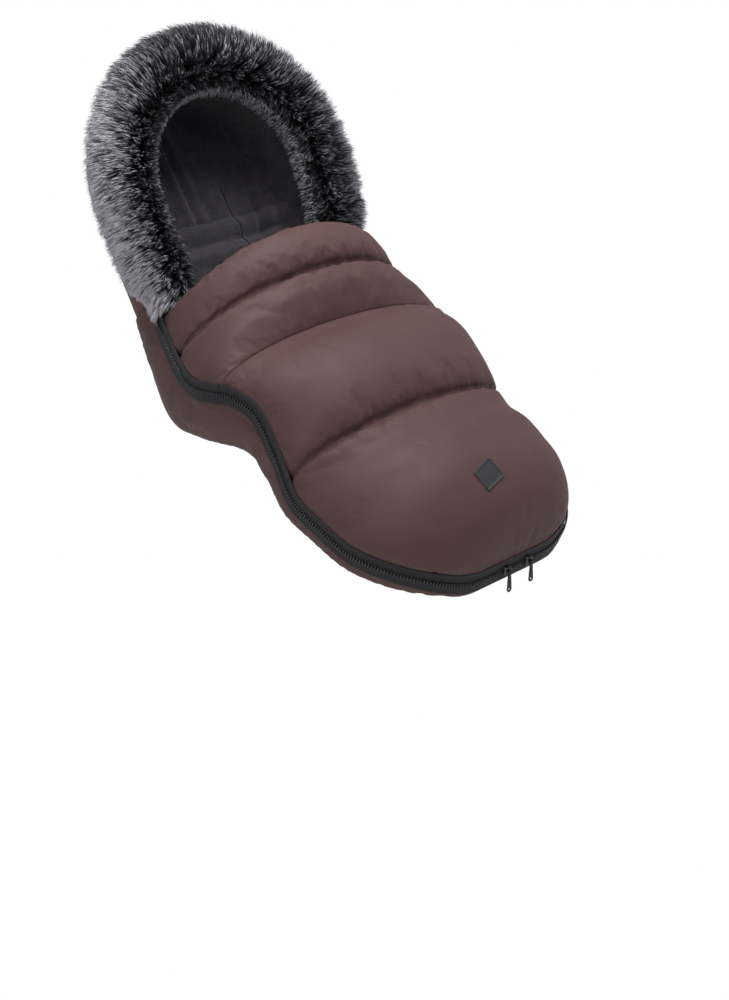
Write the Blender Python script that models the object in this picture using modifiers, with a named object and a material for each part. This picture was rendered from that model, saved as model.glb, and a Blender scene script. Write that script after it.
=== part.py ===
"""Baby bunting bag for a pram seat, in metres, +Z up.

The bag is modelled as it lies in a seat: its back leans, its seat pan is level and its
legs slope down to a blunt foot.  X runs across the bag and +Y towards the head.  The
origin is on the underside of the seat patch, where the pram seat carries the bag.

One seam line, seen from the side, drives every piece.  The padded back shell hangs below
it and grows a hood at its head end, and the quilted cover rises above it.  Linings, zip,
sliders and fur trim are worked out from the same line by named clearances.
"""
import math

import bmesh
import bpy
import numpy as np
from mathutils import Matrix, Vector

# Overall sizes of the bag
REACH = 0.500            # level distance that one share of the seam line stands for
RISE = 0.300             # height that one share of the seam line stands for
HALF_WIDTH = 0.200       # widest half of the bag, at the hips
CROWN = 0.140            # fullest height of the cover over the seam line
BED_DEPTH = 0.120        # deepest drop of the shell under the seam line
FOOT_ROUND = 0.131       # length over which the foot end rounds off
FOOT_STRAIGHT = 0.050    # half of the straight stretch of zip across the foot

# Hood, which starts at the shoulder seam
RIM_LENGTH = 0.297
RIM_LEAN = math.radians(67.0)
BACK_LENGTH = 0.336
BACK_LEAN = math.radians(54.6)
RIM_HALF_WIDTH = 0.171
HEAD_ROUND = 0.165       # length over which the hood closes at its top

# Layers, from outside to inside
SHELL_WALL = 0.016
COVER_WALL = 0.020
LINING_WALL = 0.008
GAP = 0.0004             # clearance between pieces that touch
PLY_GAP = 0.0018         # clearance between a cover and its lining
SEAM_GAP = 0.0014        # clearance between cover and shell at the zip
SPLIT_GAP = 0.0008       # clearance between flap and foot cover, and hood and shell
TURN_IN = 0.005          # the linings end this far short of the covers' edges
WELD = 5e-7              # points this close are one

# Zip
TAPE_WIDTH = 0.0125
TAPE_WALL = 0.0012
CHAIN_HALF = 0.0030
CHAIN_WALL = 0.0024
ZIP_TOP = 0.032          # the zip starts this far below the shoulder seam
NECK_DROP = 0.036        # the cover's top corners lie this far below its middle

# Fur trim, a flat-backed roll on the rim of the hood
FUR_INWARD = 0.048
FUR_OUTWARD = 0.042
FUR_THICKNESS = 0.052
FUR_STAND = 0.0010
FUR_TAIL = 0.012         # it hangs this far below the shoulder seam

# Stations from the shoulder to the foot: level and height shares of the seam line, then
# shares of half width, crown and bed depth, and the lean of the section in degrees
STATION_SHARES = np.array((
    (0.240, 0.613, 0.860, 0.957, 0.754, 50),
    (0.154, 0.483, 0.925, 1.000, 0.875, 42),
    (0.060, 0.363, 0.980, 0.914, 1.000, 32),
    (-0.010, 0.333, 1.000, 0.821, 0.871, 22),
    (-0.070, 0.340, 0.990, 0.600, 0.840, 16),
    (-0.130, 0.343, 0.960, 0.420, 0.832, 14),
    (-0.200, 0.292, 0.925, 0.560, 0.792, 20),
    (-0.268, 0.145, 0.920, 0.700, 0.600, 32),
    (-0.336, -0.019, 0.935, 0.745, 0.430, 38),
    (-0.430, -0.097, 0.930, 0.793, 0.360, 30),
    (-0.508, -0.160, 0.905, 0.800, 0.330, 22),
    (-0.606, -0.206, 0.895, 0.780, 0.315, 16),
    (-0.686, -0.255, 0.890, 0.740, 0.310, 12),
    (-0.723, -0.308, 0.890, 0.620, 0.310, 8),
))
FLAP_STATION = 4.40      # the quilting line along which the flap folds
CHEST_STATION = 1.54     # the other quilting lines, across chest and shins
SHIN_STATION = 7.60
QUILT_DIP = 0.010        # depth of the valley along a quilting line
QUILT_SPREAD = 0.013     # half of that valley's width
COVER_FULLNESS = 2.0     # exponent of the cover's cross-section, 2 is an ellipse
SHELL_FULLNESS = 4.0     # exponent of the shell's cross-section, flat along its bed
END_FULLNESS = 2.0       # exponent of the rounding at foot and head


def smooth_stations(at):
    """Rows of the station table at fractional stations, on Catmull-Rom curves."""
    table = STATION_SHARES
    padded = np.vstack((2 * table[0] - table[1], table, 2 * table[-1] - table[-2]))
    left = np.clip(at.astype(int), 0, len(table) - 2)
    t = (at - left)[:, None]
    a, b, c, d = (padded[left + i] for i in range(4))
    bend = (2 * a - 5 * b + 4 * c - d) * t ** 2 + (3 * b - a - 3 * c + d) * t ** 3
    return 0.5 * (2 * b + (c - a) * t + bend)


FINE_STATIONS = np.linspace(0, len(STATION_SHARES) - 1, 600)
FINE = smooth_stations(FINE_STATIONS)
FINE_LEVEL = FINE[:, 0] * REACH
FINE_HEIGHT = FINE[:, 1] * RISE
FINE_ALONG = np.concatenate(
    ([0], np.cumsum(np.hypot(np.diff(FINE_LEVEL), np.diff(FINE_HEIGHT))))
)
SEAM_LENGTH = FINE_ALONG[-1]
FOLD_ALONG, CHEST_ALONG, SHIN_ALONG = np.interp(
    (FLAP_STATION, CHEST_STATION, SHIN_STATION), FINE_STATIONS, FINE_ALONG
)
CHEST_ROWS = 5           # rows of points above the first quilting line
WAIST_ROWS = 8           # between it and the fold
LAP_ROWS = 7             # between the fold and the last quilting line
FOOT_ROWS = 10           # between that and the foot end
FOOT_CROWDING = 1.5


def rounding(along, end, length):
    """Factor that is 1 up to a length before the end, and falls to 0 there in a round."""
    share = np.clip((along - end + length) / length, 0, 1)
    return (1 - share ** END_FULLNESS) ** (1 / END_FULLNESS)


def seam_row(along, inset):
    """Seam point, upward direction, half width, crown and bed depth at a distance along.

    The distance runs down the seam line from the shoulder.  An inset surface is narrower
    and lower by the inset all round, and its foot end comes that much sooner.
    """
    level, height, width, crown, bed, lean = (
        np.interp(along, FINE_ALONG, FINE[:, i]) for i in range(6)
    )
    lean = np.radians(lean)
    seam = np.stack((level * REACH, height * RISE), -1)
    up = np.stack((-np.sin(lean), np.cos(lean)), -1)
    end = rounding(along, SEAM_LENGTH - inset, FOOT_ROUND)
    half = FOOT_STRAIGHT + (width * HALF_WIDTH - inset - FOOT_STRAIGHT) * end
    return seam, up, half, (crown * CROWN - inset) * end, (bed * BED_DEPTH - inset) * end


def hood_row(along, inset):
    """Rim point, forward direction, half width and depth of the hood.

    The distance runs up the rim from the shoulder seam.  Rim and back are straight lines
    seen from the side, and the width closes in a round at the top.
    """
    first, first_up, first_half, _, first_depth = seam_row(np.zeros(1), 0)
    bed = first[0] - first_up[0] * first_depth[0]
    share = (along / RIM_LENGTH)[..., None]
    rim = first[0] + RIM_LENGTH * share * np.array((math.cos(RIM_LEAN), math.sin(RIM_LEAN)))
    back = bed + BACK_LENGTH * share * np.array((math.cos(BACK_LEAN), math.sin(BACK_LEAN)))
    depth = np.linalg.norm(rim - back, axis=-1)
    forward = (rim - back) / depth[..., None]
    widening = np.clip(2 * share[..., 0], 0, 1)
    half = first_half[0] + (RIM_HALF_WIDTH - first_half[0]) * widening - inset
    return rim, forward, half * rounding(along, RIM_LENGTH - inset, HEAD_ROUND), depth - inset


def section(seam, up, half, height, angle, fullness, lift):
    """Points of a superellipse over the seam: angle 0 is its left end, pi its right."""
    across = np.cos(angle)
    rise = np.abs(np.sin(angle)) ** (2 / fullness) * height + lift
    x = -half * np.sign(across) * np.abs(across) ** (2 / fullness)
    return np.stack((x, seam[..., 0] + up[..., 0] * rise, seam[..., 1] + up[..., 1] * rise), -1)


def cover_surface(along, angle, inset):
    """Outer face of the cover, or a face inset from it, on a grid.

    Stitching draws the outer face into a valley along each quilting line.
    """
    seam, up, half, crown, _ = seam_row(along, inset)
    for line in (CHEST_ALONG, FOLD_ALONG, SHIN_ALONG):
        valley = QUILT_DIP * np.exp(-((along - line) / QUILT_SPREAD) ** 2)
        crown = crown - valley * max(0, 1 - inset / COVER_WALL)
    return section(seam, up, half, crown, angle, COVER_FULLNESS, SEAM_GAP / 2)


def shell_surface(along, angle, inset):
    """Outer face of the back shell under the seam line, or a face inset from it."""
    seam, up, half, _, bed = seam_row(along, inset)
    return section(seam, -up, half, bed, angle, SHELL_FULLNESS, SEAM_GAP / 2)


def hood_surface(along, angle, inset):
    """Outer face of the hood, or a face inset from it."""
    rim, forward, half, depth = hood_row(along, inset)
    return section(rim, -forward, half, depth, angle, SHELL_FULLNESS, SEAM_GAP / 2)


def spread(first, last, count, crowding=1.0):
    """Distances from first to last that crowd towards last as crowding rises."""
    share = np.linspace(0, 1, count)
    return first + (last - first) * (1 - (1 - share) ** crowding)


def flap_line(start):
    """Row distances beside the flap, from a start over a quilting line to the fold."""
    share = np.linspace(0, 1, CHEST_ROWS).reshape(-1, *[1] * np.ndim(start))
    chest = start + (CHEST_ALONG - start) * share
    waist = np.linspace(CHEST_ALONG, FOLD_ALONG - SPLIT_GAP / 2, WAIST_ROWS)[1:]
    return np.concatenate((chest, np.multiply.outer(waist, np.ones_like(start))))


def foot_line(inset):
    """Row distances beside the foot cover, over a quilting line to the foot end."""
    lap = np.linspace(FOLD_ALONG + SPLIT_GAP / 2, SHIN_ALONG, LAP_ROWS)
    foot = spread(SHIN_ALONG, SEAM_LENGTH - inset, FOOT_ROWS, FOOT_CROWDING)
    return np.concatenate((lap, foot[1:]))


def angles(count, ease=0.35):
    """Angles from 0 to pi, drawn a little towards the ends, where sections bend most."""
    share = np.linspace(0, 1, count)
    return math.pi * (share - ease * np.sin(2 * math.pi * share) / (2 * math.pi))


def collection_named(name):
    """A new collection linked to the scene."""
    collection = bpy.data.collections.new(name)
    bpy.context.scene.collection.children.link(collection)
    return collection


def material(name, colour, roughness, metallic=0.0):
    """A plain Principled material."""
    made = bpy.data.materials.new(name)
    made.use_nodes = True
    shader = made.node_tree.nodes["Principled BSDF"]
    shader.inputs["Base Color"].default_value = (*colour, 1)
    shader.inputs["Roughness"].default_value = roughness
    shader.inputs["Metallic"].default_value = metallic
    return made


def finished(name, bm, finish, smooth=True):
    """An object from a closed bmesh whose faces agree, welded and turned to face out."""
    bmesh.ops.remove_doubles(bm, verts=bm.verts, dist=WELD)
    bmesh.ops.dissolve_degenerate(bm, edges=bm.edges, dist=WELD)
    if bm.calc_volume(signed=True) < 0:
        bmesh.ops.reverse_faces(bm, faces=bm.faces)
    mesh = bpy.data.meshes.new(name)
    bm.to_mesh(mesh)
    bm.free()
    if smooth:
        mesh.shade_smooth()
        mesh.set_sharp_from_angle(angle=math.radians(40))
    made = bpy.data.objects.new(name, mesh)
    made.data.materials.append(finish)
    PARTS.objects.link(made)
    return made


def grid_faces(bm, rows, closed=False):
    """Quads between neighbouring rows of vertices; closed joins each row's two ends."""
    for upper, lower in zip(rows, rows[1:]):
        count = len(upper)
        for j in range(count if closed else count - 1):
            k = (j + 1) % count
            bm.faces.new((upper[j], upper[k], lower[k], lower[j]))


def layer(name, outer, inner, finish, open_last=True):
    """A padded sheet between two grids.  Where the last rows close on themselves, as at
    the top of the hood, the sheet needs no wall there, and open_last is False."""
    bm = bmesh.new()
    outside, inside = (
        [[bm.verts.new(p) for p in row] for row in grid] for grid in (outer, inner)
    )
    grid_faces(bm, outside)
    grid_faces(bm, inside[::-1])
    grid_faces(bm, (inside[0], outside[0]))
    if open_last:
        grid_faces(bm, (outside[-1], inside[-1]))
    grid_faces(bm, [[row[0] for row in rows] for rows in (outside, inside)])
    grid_faces(bm, [[row[-1] for row in rows] for rows in (inside, outside)])
    return finished(name, bm, finish)


def layer_of(name, surface, walls, along, angle, finish, open_last=True):
    """A layer whose two faces are the same surface at two insets.

    along gives, for an inset, the distances of the rows, as one column or as a grid.
    """
    grids = []
    for inset in walls:
        rows, columns = np.broadcast_arrays(along(inset), angle[None, :])
        grids.append(surface(rows, columns, inset))
    return layer(name, *grids, finish, open_last)


def seam_path(along, signs=(-1, 1)):
    """Seam line in space: down the left side, sign -1, and up the right side, sign 1.

    Gives points, upward directions and outward directions.
    """
    seam, up, half, _, _ = seam_row(along, 0)
    sides = []
    for sign in signs:
        points = np.column_stack((sign * half, seam))
        ups = np.column_stack((np.zeros(len(along)), up))
        sides.append((points, ups) if sign < 0 else (points[::-1], ups[::-1]))
    points = np.vstack([side[0] for side in sides])
    ups = np.vstack([side[1] for side in sides])
    along = np.gradient(points, axis=0)
    out = np.cross(along, ups)
    out /= np.linalg.norm(out, axis=1)[:, None]
    return points, ups, out


def swept(name, path, profile, finish, scale=None):
    """A bar along a path.  The profile is a closed outline of (out, up) distances."""
    points, ups, outs = path
    profile = np.array(profile)
    size = np.ones(len(points)) if scale is None else scale
    bm = bmesh.new()
    rings = []
    for point, up, out, factor in zip(points, ups, outs, size):
        ring = point + factor * (profile[:, :1] * out + profile[:, 1:] * up)
        rings.append([bm.verts.new(p) for p in ring])
    grid_faces(bm, rings, closed=True)
    bm.faces.new(rings[0][::-1])
    bm.faces.new(rings[-1])
    return finished(name, bm, finish)


def strip(name, path, out_range, up_range, finish):
    """A flat bar along the seam, such as a zip tape."""
    (low, high), (bottom, top) = out_range, up_range
    outline = ((low, bottom), (high, bottom), (high, top), (low, top))
    return swept(name, path, outline, finish)


def box(name, size, place, axes, finish, bevel=0.0, segments=2):
    """A block of a size, centred at a place, on three axes given as columns."""
    bm = bmesh.new()
    bmesh.ops.create_cube(bm, size=1.0, matrix=Matrix.Diagonal((*size, 1)))
    made = finished(name, bm, finish, smooth=bevel > 0)
    made.matrix_world = Matrix.Translation(place) @ axes
    if bevel > 0:
        edge = made.modifiers.new("round", "BEVEL")
        edge.width = bevel
        edge.segments = segments
    return made


def axes_of(first, second):
    """A rotation whose X and Y columns are the two given directions."""
    x = Vector(first).normalized()
    z = x.cross(Vector(second)).normalized()
    return Matrix((x, z.cross(x), z)).transposed().to_4x4()


def cut(target, cutters, prefix):
    """Cuts a list of hidden objects from a target."""
    for number, cutter in enumerate(cutters):
        step = target.modifiers.new(f"{prefix}_{number}", "BOOLEAN")
        step.object = cutter


def make_cutter(made):
    """Moves an object among the cutters and hides it."""
    PARTS.objects.unlink(made)
    CUTTERS.objects.link(made)
    made.hide_render = True
    made.display_type = "WIRE"
    return made


def rounded_outline(width, height, corner, steps=5):
    """Outline of a rectangle with round corners, centred on the origin."""
    turns = np.linspace(0, math.pi / 2, steps)
    points = []
    for quarter, (sx, sy) in enumerate(((1, 1), (-1, 1), (-1, -1), (1, -1))):
        turn = turns + quarter * math.pi / 2
        x = sx * (width / 2 - corner) + corner * np.cos(turn)
        y = sy * (height / 2 - corner) + corner * np.sin(turn)
        points += list(zip(x, y))
    return points


def plate(name, outlines, thickness, place, axes, finish):
    """A flat plate from 2D outlines; an outline inside another is a hole."""
    curve = bpy.data.curves.new(name, "CURVE")
    curve.dimensions = "2D"
    curve.fill_mode = "BOTH"
    curve.extrude = thickness / 2
    for outline in outlines:
        spline = curve.splines.new("POLY")
        spline.points.add(len(outline) - 1)
        for point, (x, y) in zip(spline.points, outline):
            point.co = (x, y, 0, 1)
        spline.use_cyclic_u = True
    made = bpy.data.objects.new(name, curve)
    curve.materials.append(finish)
    PARTS.objects.link(made)
    made.matrix_world = Matrix.Translation(place) @ axes
    return made


def as_mesh(made):
    """The same object with its curve turned into a welded mesh."""
    graph = bpy.context.evaluated_depsgraph_get()
    bpy.context.view_layer.update()
    mesh = bpy.data.meshes.new_from_object(made.evaluated_get(graph))
    bm = bmesh.new()
    bm.from_mesh(mesh)
    bmesh.ops.remove_doubles(bm, verts=bm.verts, dist=WELD)
    bm.to_mesh(mesh)
    bm.free()
    name = made.name
    swapped = bpy.data.objects.new(name, mesh)
    PARTS.objects.link(swapped)
    swapped.matrix_world = made.matrix_world
    bpy.data.objects.remove(made)
    swapped.name = name
    return swapped


def rod(name, radius, length, place, direction, finish, sides=16):
    """A round rod centred at a place."""
    bm = bmesh.new()
    bmesh.ops.create_cone(
        bm, cap_ends=True, segments=sides, radius1=radius, radius2=radius, depth=length
    )
    made = finished(name, bm, finish)
    turn = Vector((0, 0, 1)).rotation_difference(Vector(direction)).to_matrix().to_4x4()
    made.matrix_world = Matrix.Translation(place) @ turn
    return made


def join(target, others, prefix):
    """Unites hidden objects with a target."""
    for number, other in enumerate(others):
        step = target.modifiers.new(f"{prefix}_{number}", "BOOLEAN")
        step.operation = "UNION"
        step.object = make_cutter(other)


for old in list(bpy.data.objects):
    bpy.data.objects.remove(old)
PARTS = collection_named("baby_bunting_bag")
CUTTERS = collection_named("cutters")

NYLON = material("brown_nylon", (0.075, 0.046, 0.042), 0.55)
PLUSH = material("charcoal_plush", (0.020, 0.019, 0.022), 0.95)
FUR = material("grey_tipped_fur", (0.075, 0.075, 0.080), 0.95)
TAPE = material("black_zip_tape", (0.012, 0.012, 0.014), 0.80)
TEETH = material("black_zip_teeth", (0.020, 0.020, 0.024), 0.35)
METAL = material("black_lacquered_metal", (0.018, 0.018, 0.020), 0.30, 0.6)
PATCH = material("grey_rubber_label", (0.030, 0.032, 0.038), 0.60)
GRIP = material("black_grip_fabric", (0.015, 0.015, 0.016), 0.90)
BINDING = material("brown_binding", (0.060, 0.037, 0.034), 0.70)


# Shell and hood with their linings
HOOD_ROWS = 12
SHELL_ANGLES = angles(23)
LINING_OUT = SHELL_WALL + PLY_GAP
LINING_IN = LINING_OUT + LINING_WALL


def shell_rows(inset):
    """Distances of the shell's rows down to its foot end."""
    return np.concatenate((flap_line(SPLIT_GAP / 2), foot_line(inset)))[:, None]


def hood_rows(inset):
    """Distances of the hood's rows up to its top."""
    return spread(SPLIT_GAP / 2, RIM_LENGTH - inset, HOOD_ROWS, 1.5)[:, None]


back_shell = layer_of(
    "back_shell", shell_surface, (0, SHELL_WALL), shell_rows, SHELL_ANGLES, NYLON
)
back_lining = layer_of(
    "back_lining", shell_surface, (LINING_OUT, LINING_IN), shell_rows, SHELL_ANGLES, PLUSH
)
hood_shell = layer_of(
    "hood_shell", hood_surface, (0, SHELL_WALL), hood_rows, SHELL_ANGLES, NYLON, False
)
hood_lining = layer_of(
    "hood_lining", hood_surface, (LINING_OUT, LINING_IN), hood_rows, SHELL_ANGLES, PLUSH, False
)


# Cover: the flap over the chest and the foot cover, each with its lining
COVER_ANGLES = angles(21)
COVER_LINING_OUT = COVER_WALL + PLY_GAP
COVER_LINING_IN = COVER_LINING_OUT + LINING_WALL


def flap_rows(inset):
    """Rows from the dipping top edge down to the fold, for every angle."""
    turn_in = TURN_IN if inset > COVER_WALL else 0
    return flap_line(NECK_DROP * np.cos(COVER_ANGLES) ** 2 + turn_in)


def foot_rows(inset):
    """Rows from the fold down to the foot end."""
    return foot_line(inset)[:, None]


layer_of("flap_cover", cover_surface, (0, COVER_WALL), flap_rows, COVER_ANGLES, NYLON)
layer_of(
    "flap_lining",
    cover_surface,
    (COVER_LINING_OUT, COVER_LINING_IN),
    flap_rows,
    COVER_ANGLES,
    PLUSH,
)
layer_of("foot_cover", cover_surface, (0, COVER_WALL), foot_rows, COVER_ANGLES, NYLON)
layer_of(
    "foot_lining",
    cover_surface,
    (COVER_LINING_OUT, COVER_LINING_IN),
    foot_rows,
    COVER_ANGLES,
    PLUSH,
)


# Zip: tapes sewn along both edges and the rows of teeth between them
TAPE_OUT = (GAP, GAP + TAPE_WALL)
CHAIN_OUT = (TAPE_OUT[1] + GAP, TAPE_OUT[1] + GAP + CHAIN_WALL)
ABOVE = (SEAM_GAP / 2, SEAM_GAP / 2 + TAPE_WIDTH)
BELOW = (-ABOVE[1], -ABOVE[0])
CHAIN_ABOVE = (SEAM_GAP / 4, CHAIN_HALF)
CHAIN_BELOW = (-CHAIN_HALF, -SEAM_GAP / 4)

whole_seam = seam_path(np.concatenate((flap_line(ZIP_TOP), foot_line(0))))
foot_seam = seam_path(foot_line(0))
strip("shell_zip_tape", whole_seam, TAPE_OUT, BELOW, TAPE)
strip("shell_zip_teeth", whole_seam, CHAIN_OUT, CHAIN_BELOW, TEETH)
strip("foot_zip_tape", foot_seam, TAPE_OUT, ABOVE, TAPE)
strip("foot_zip_teeth", foot_seam, CHAIN_OUT, CHAIN_ABOVE, TEETH)
for side, sign in (("left", -1), ("right", 1)):
    flap_seam = seam_path(flap_line(ZIP_TOP), (sign,))
    strip(f"flap_zip_tape_{side}", flap_seam, TAPE_OUT, ABOVE, TAPE)
    strip(f"flap_zip_teeth_{side}", flap_seam, CHAIN_OUT, CHAIN_ABOVE, TEETH)


# Fur trim along the rim of the hood
FUR_POINTS = 22
FUR_END_SHARE = 0.50     # thickness left at its two ends
FUR_TAPER = 0.060        # length over which it thins towards an end


def rim_path():
    """Rim of the hood in space, from its right end over the top to its left end."""
    along = spread(-FUR_TAIL, RIM_LENGTH, FUR_POINTS, 1.8)
    rim, forward, half, _ = hood_row(along, 0)
    seam, up, seam_half, _, _ = seam_row(np.abs(along), 0)
    below = along < 0
    rim[below], forward[below], half[below] = seam[below], up[below], seam_half[below]
    right = np.column_stack((half, rim))
    left = np.column_stack((-half, rim))[-2::-1]
    forward = np.column_stack((np.zeros(FUR_POINTS), forward))
    points = np.vstack((right, left))
    ups = np.vstack((forward, forward[-2::-1]))
    out = np.cross(np.gradient(points, axis=0), ups)
    out /= np.linalg.norm(out, axis=1)[:, None]
    growth = np.clip((along + FUR_TAIL) / FUR_TAPER, 0, 1)
    size = FUR_END_SHARE + (1 - FUR_END_SHARE) * np.sin(growth * math.pi / 2)
    return (points, ups, out), np.concatenate((size, size[-2::-1]))


def fur_profile(steps=11):
    """A flat back and a domed front, as (outward, forward) distances."""
    turn = np.linspace(0, math.pi, steps)
    middle = (FUR_OUTWARD - FUR_INWARD) / 2
    wide = (FUR_OUTWARD + FUR_INWARD) / 2
    dome = (FUR_THICKNESS - FUR_STAND) * np.sin(turn) ** 0.8 + FUR_STAND
    return np.stack((middle + wide * np.cos(turn), dome), -1)


fur_line, fur_size = rim_path()
swept("fur_trim", fur_line, fur_profile(), FUR, fur_size)


# Patches: a small label on the foot and two grip patches underneath
LABEL_STATION = 11.1
LABEL_SIDE = -0.015      # across the bag from its middle
LABEL_WIDTH = 0.036
LABEL_HEIGHT = 0.030
LABEL_WALL = 0.0016
LABEL_TURN = math.radians(-16)
PATCH_WALL = 0.0018
PATCH_CORNER = 0.012
SEAT_PATCH = (0.130, 0.052)
BACK_PATCH = (0.120, 0.090)
BACK_PATCH_SHARE = 0.69  # its middle, as a share of the hood's length


def cover_frame(station, side):
    """Point and axes on the cover at a station and a distance from its middle."""
    along = np.interp(station, FINE_STATIONS, FINE_ALONG)
    half = seam_row(np.array([along]), 0)[2][0]
    angle = math.acos(np.clip(-side / half, -1, 1))
    step = 1e-3
    rows = np.array([along, along + step * SEAM_LENGTH, along])
    columns = np.array([angle, angle, angle + step])
    here, further, across = cover_surface(rows, columns, 0)
    right = Vector(across - here).normalized()
    ahead = Vector(further - here)
    normal = ahead.cross(right).normalized()
    upward = normal.cross(right)
    return Vector(here), Matrix((right, upward, normal)).transposed().to_4x4()


spot, frame = cover_frame(LABEL_STATION, LABEL_SIDE)
plate(
    "label_patch",
    [rounded_outline(LABEL_WIDTH, LABEL_HEIGHT, LABEL_WALL)],
    LABEL_WALL,
    spot + frame.col[2].to_3d() * (LABEL_WALL / 2 + GAP),
    frame @ Matrix.Rotation(LABEL_TURN, 4, "Z"),
    PATCH,
)
plate(
    "seat_grip_patch",
    [rounded_outline(*SEAT_PATCH, PATCH_CORNER)],
    PATCH_WALL,
    (0, 0, PATCH_WALL / 2),
    Matrix.Identity(4),
    GRIP,
)
back_up = Vector((0, math.cos(BACK_LEAN), math.sin(BACK_LEAN)))
back_normal = Vector((0, math.sin(BACK_LEAN), -math.cos(BACK_LEAN)))
back_axes = axes_of((-1, 0, 0), back_up)


def back_point(share):
    """Middle of the hood's outer back face at a share of its length."""
    rim, forward, _, depth = hood_row(np.array([share * RIM_LENGTH]), 0)
    return Vector((0, *(rim[0] - forward[0] * (depth[0] + SEAM_GAP / 2))))


plate(
    "back_grip_patch",
    [rounded_outline(*BACK_PATCH, PATCH_CORNER)],
    PATCH_WALL,
    back_point(BACK_PATCH_SHARE) + back_normal * (PATCH_WALL / 2 + GAP),
    back_axes,
    GRIP,
)


# Harness slots, each bound by a stiff tape that lines the hole through both layers
SLOT_CORNER = 0.005
BINDING_WALL = 0.0018
BINDING_PROUD = 0.0010
SHOULDER_SLOT = (0.022, 0.110)
SHOULDER_SLOT_SIDE = 0.062
SHOULDER_SLOT_SHARE = 0.31
CROTCH_SLOT = (0.052, 0.020)
CROTCH_SLOT_LEVEL = -0.046
HIP_SLOT = (0.020, 0.048)
HIP_SLOT_SIDE = 0.108
HIP_SLOT_LEVEL = 0.030


def slot(name, targets, size, place, axes, depth):
    """Cuts a slot through the targets and lines it with its binding."""
    cutter = make_cutter(box(f"cut_{name}", (*size, 2 * depth), place, axes, BINDING))
    for target in targets:
        cut(target, [cutter], name)
    outer = [length - 2 * GAP for length in size]
    inner = [length - 2 * BINDING_WALL for length in outer]
    outlines = [rounded_outline(*outer, SLOT_CORNER)]
    outlines.append(rounded_outline(*inner, SLOT_CORNER - BINDING_WALL))
    plate(f"slot_binding_{name}", outlines, depth, place, axes, BINDING)


def seat_slot(name, size, x, y):
    """A slot straight down through the seat at a place."""
    along = FINE_ALONG[np.argmin(np.abs(
        FINE_LEVEL + np.sin(np.radians(FINE[:, 5])) * FINE[:, 4] * BED_DEPTH - y
    ))]
    low, high = (
        shell_surface(along, math.acos(-abs(x) / seam_row(along, inset)[2]), inset)[2]
        for inset in (0, LINING_IN)
    )
    ends = (low - BINDING_PROUD, high + 2 * BINDING_PROUD)
    place = (x, y, sum(ends) / 2)
    slot(name, (back_shell, back_lining), size, place, Matrix.Identity(4), ends[1] - ends[0])


wall = LINING_IN + 2 * BINDING_PROUD
for side, sign in (("left", -1), ("right", 1)):
    middle = back_point(SHOULDER_SLOT_SHARE) - back_normal * LINING_IN / 2
    slot(
        f"shoulder_{side}",
        (hood_shell, hood_lining),
        SHOULDER_SLOT,
        middle + Vector((sign * SHOULDER_SLOT_SIDE, 0, 0)),
        back_axes,
        wall,
    )
    seat_slot(f"hip_{side}", HIP_SLOT, sign * HIP_SLOT_SIDE, HIP_SLOT_LEVEL)
seat_slot("crotch", CROTCH_SLOT, 0, CROTCH_SLOT_LEVEL)


# Zip sliders and pulls on the straight stretch across the foot, and the top stops
SLIDER_LENGTH = 0.0095
SLIDER_HALF = 0.0058     # half of its height across the teeth
SLIDER_PLATE = 0.0018
SLIDER_ROUND = 0.0008
SLIDER_CLEAR = 0.0004
POST_LENGTH = 0.0012
POST_WIDTH = 0.0026
BAR_RADIUS = 0.0007
KNUCKLE_RADIUS = 0.0017
KNUCKLE_LENGTH = 0.0046
TAB_LENGTH = 0.027
TAB_WIDTH = 0.0080
TAB_WALL = 0.0014
TAB_EYE = 0.0036
SLIDER_SIDES = {"left": -0.013, "right": 0.028}
STOP_LENGTH = 0.0040

_, foot_up, _, _, _ = seam_row(np.array([SEAM_LENGTH]), 0)
foot_seam_point = seam_row(np.array([SEAM_LENGTH]), 0)[0][0]
zip_up = Vector((0, *foot_up[0]))
zip_out = Vector((1, 0, 0)).cross(zip_up)
zip_axes = axes_of((1, 0, 0), zip_up)


def on_zip(x, out, up):
    """A place on the straight stretch of zip, from the seam line outwards and upwards."""
    return Vector((x, *foot_seam_point)) + zip_out * out + zip_up * up


def slider(side, x):
    """A slider that straddles the teeth, with a bar that carries its pull."""
    teeth_top = CHAIN_OUT[1] + SLIDER_CLEAR
    low = TAPE_OUT[1] + SLIDER_CLEAR
    high = teeth_top + SLIDER_PLATE
    bar_out = high + KNUCKLE_RADIUS + SLIDER_CLEAR
    body = box(
        f"zip_slider_{side}",
        (SLIDER_LENGTH, 2 * SLIDER_HALF, high - low),
        on_zip(x, (low + high) / 2, 0),
        zip_axes,
        METAL,
        SLIDER_ROUND,
    )
    tunnel = (2 * SLIDER_LENGTH, 2 * (CHAIN_HALF + SLIDER_CLEAR), 2 * (teeth_top - low))
    tunnel_box = box(f"tunnel_{side}", tunnel, on_zip(x, low, 0), zip_axes, METAL)
    cut(body, [make_cutter(tunnel_box)], "tunnel")
    post = (POST_LENGTH, POST_WIDTH, bar_out + BAR_RADIUS - high + SLIDER_PLATE / 2)
    reach = (KNUCKLE_LENGTH + POST_LENGTH) / 2 + SLIDER_CLEAR
    post_out = high - SLIDER_PLATE / 2 + post[2] / 2
    pieces = [
        box(f"post_{side}_{number}", post, on_zip(x + sign * reach, post_out, 0), zip_axes, METAL)
        for number, sign in enumerate((-1, 1))
    ]
    pieces.append(rod(
        f"bar_{side}", BAR_RADIUS, 2 * reach, on_zip(x, bar_out, 0), (1, 0, 0), METAL, 12
    ))
    join(body, pieces, "bridge")
    pull(side, on_zip(x, bar_out, 0))


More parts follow.
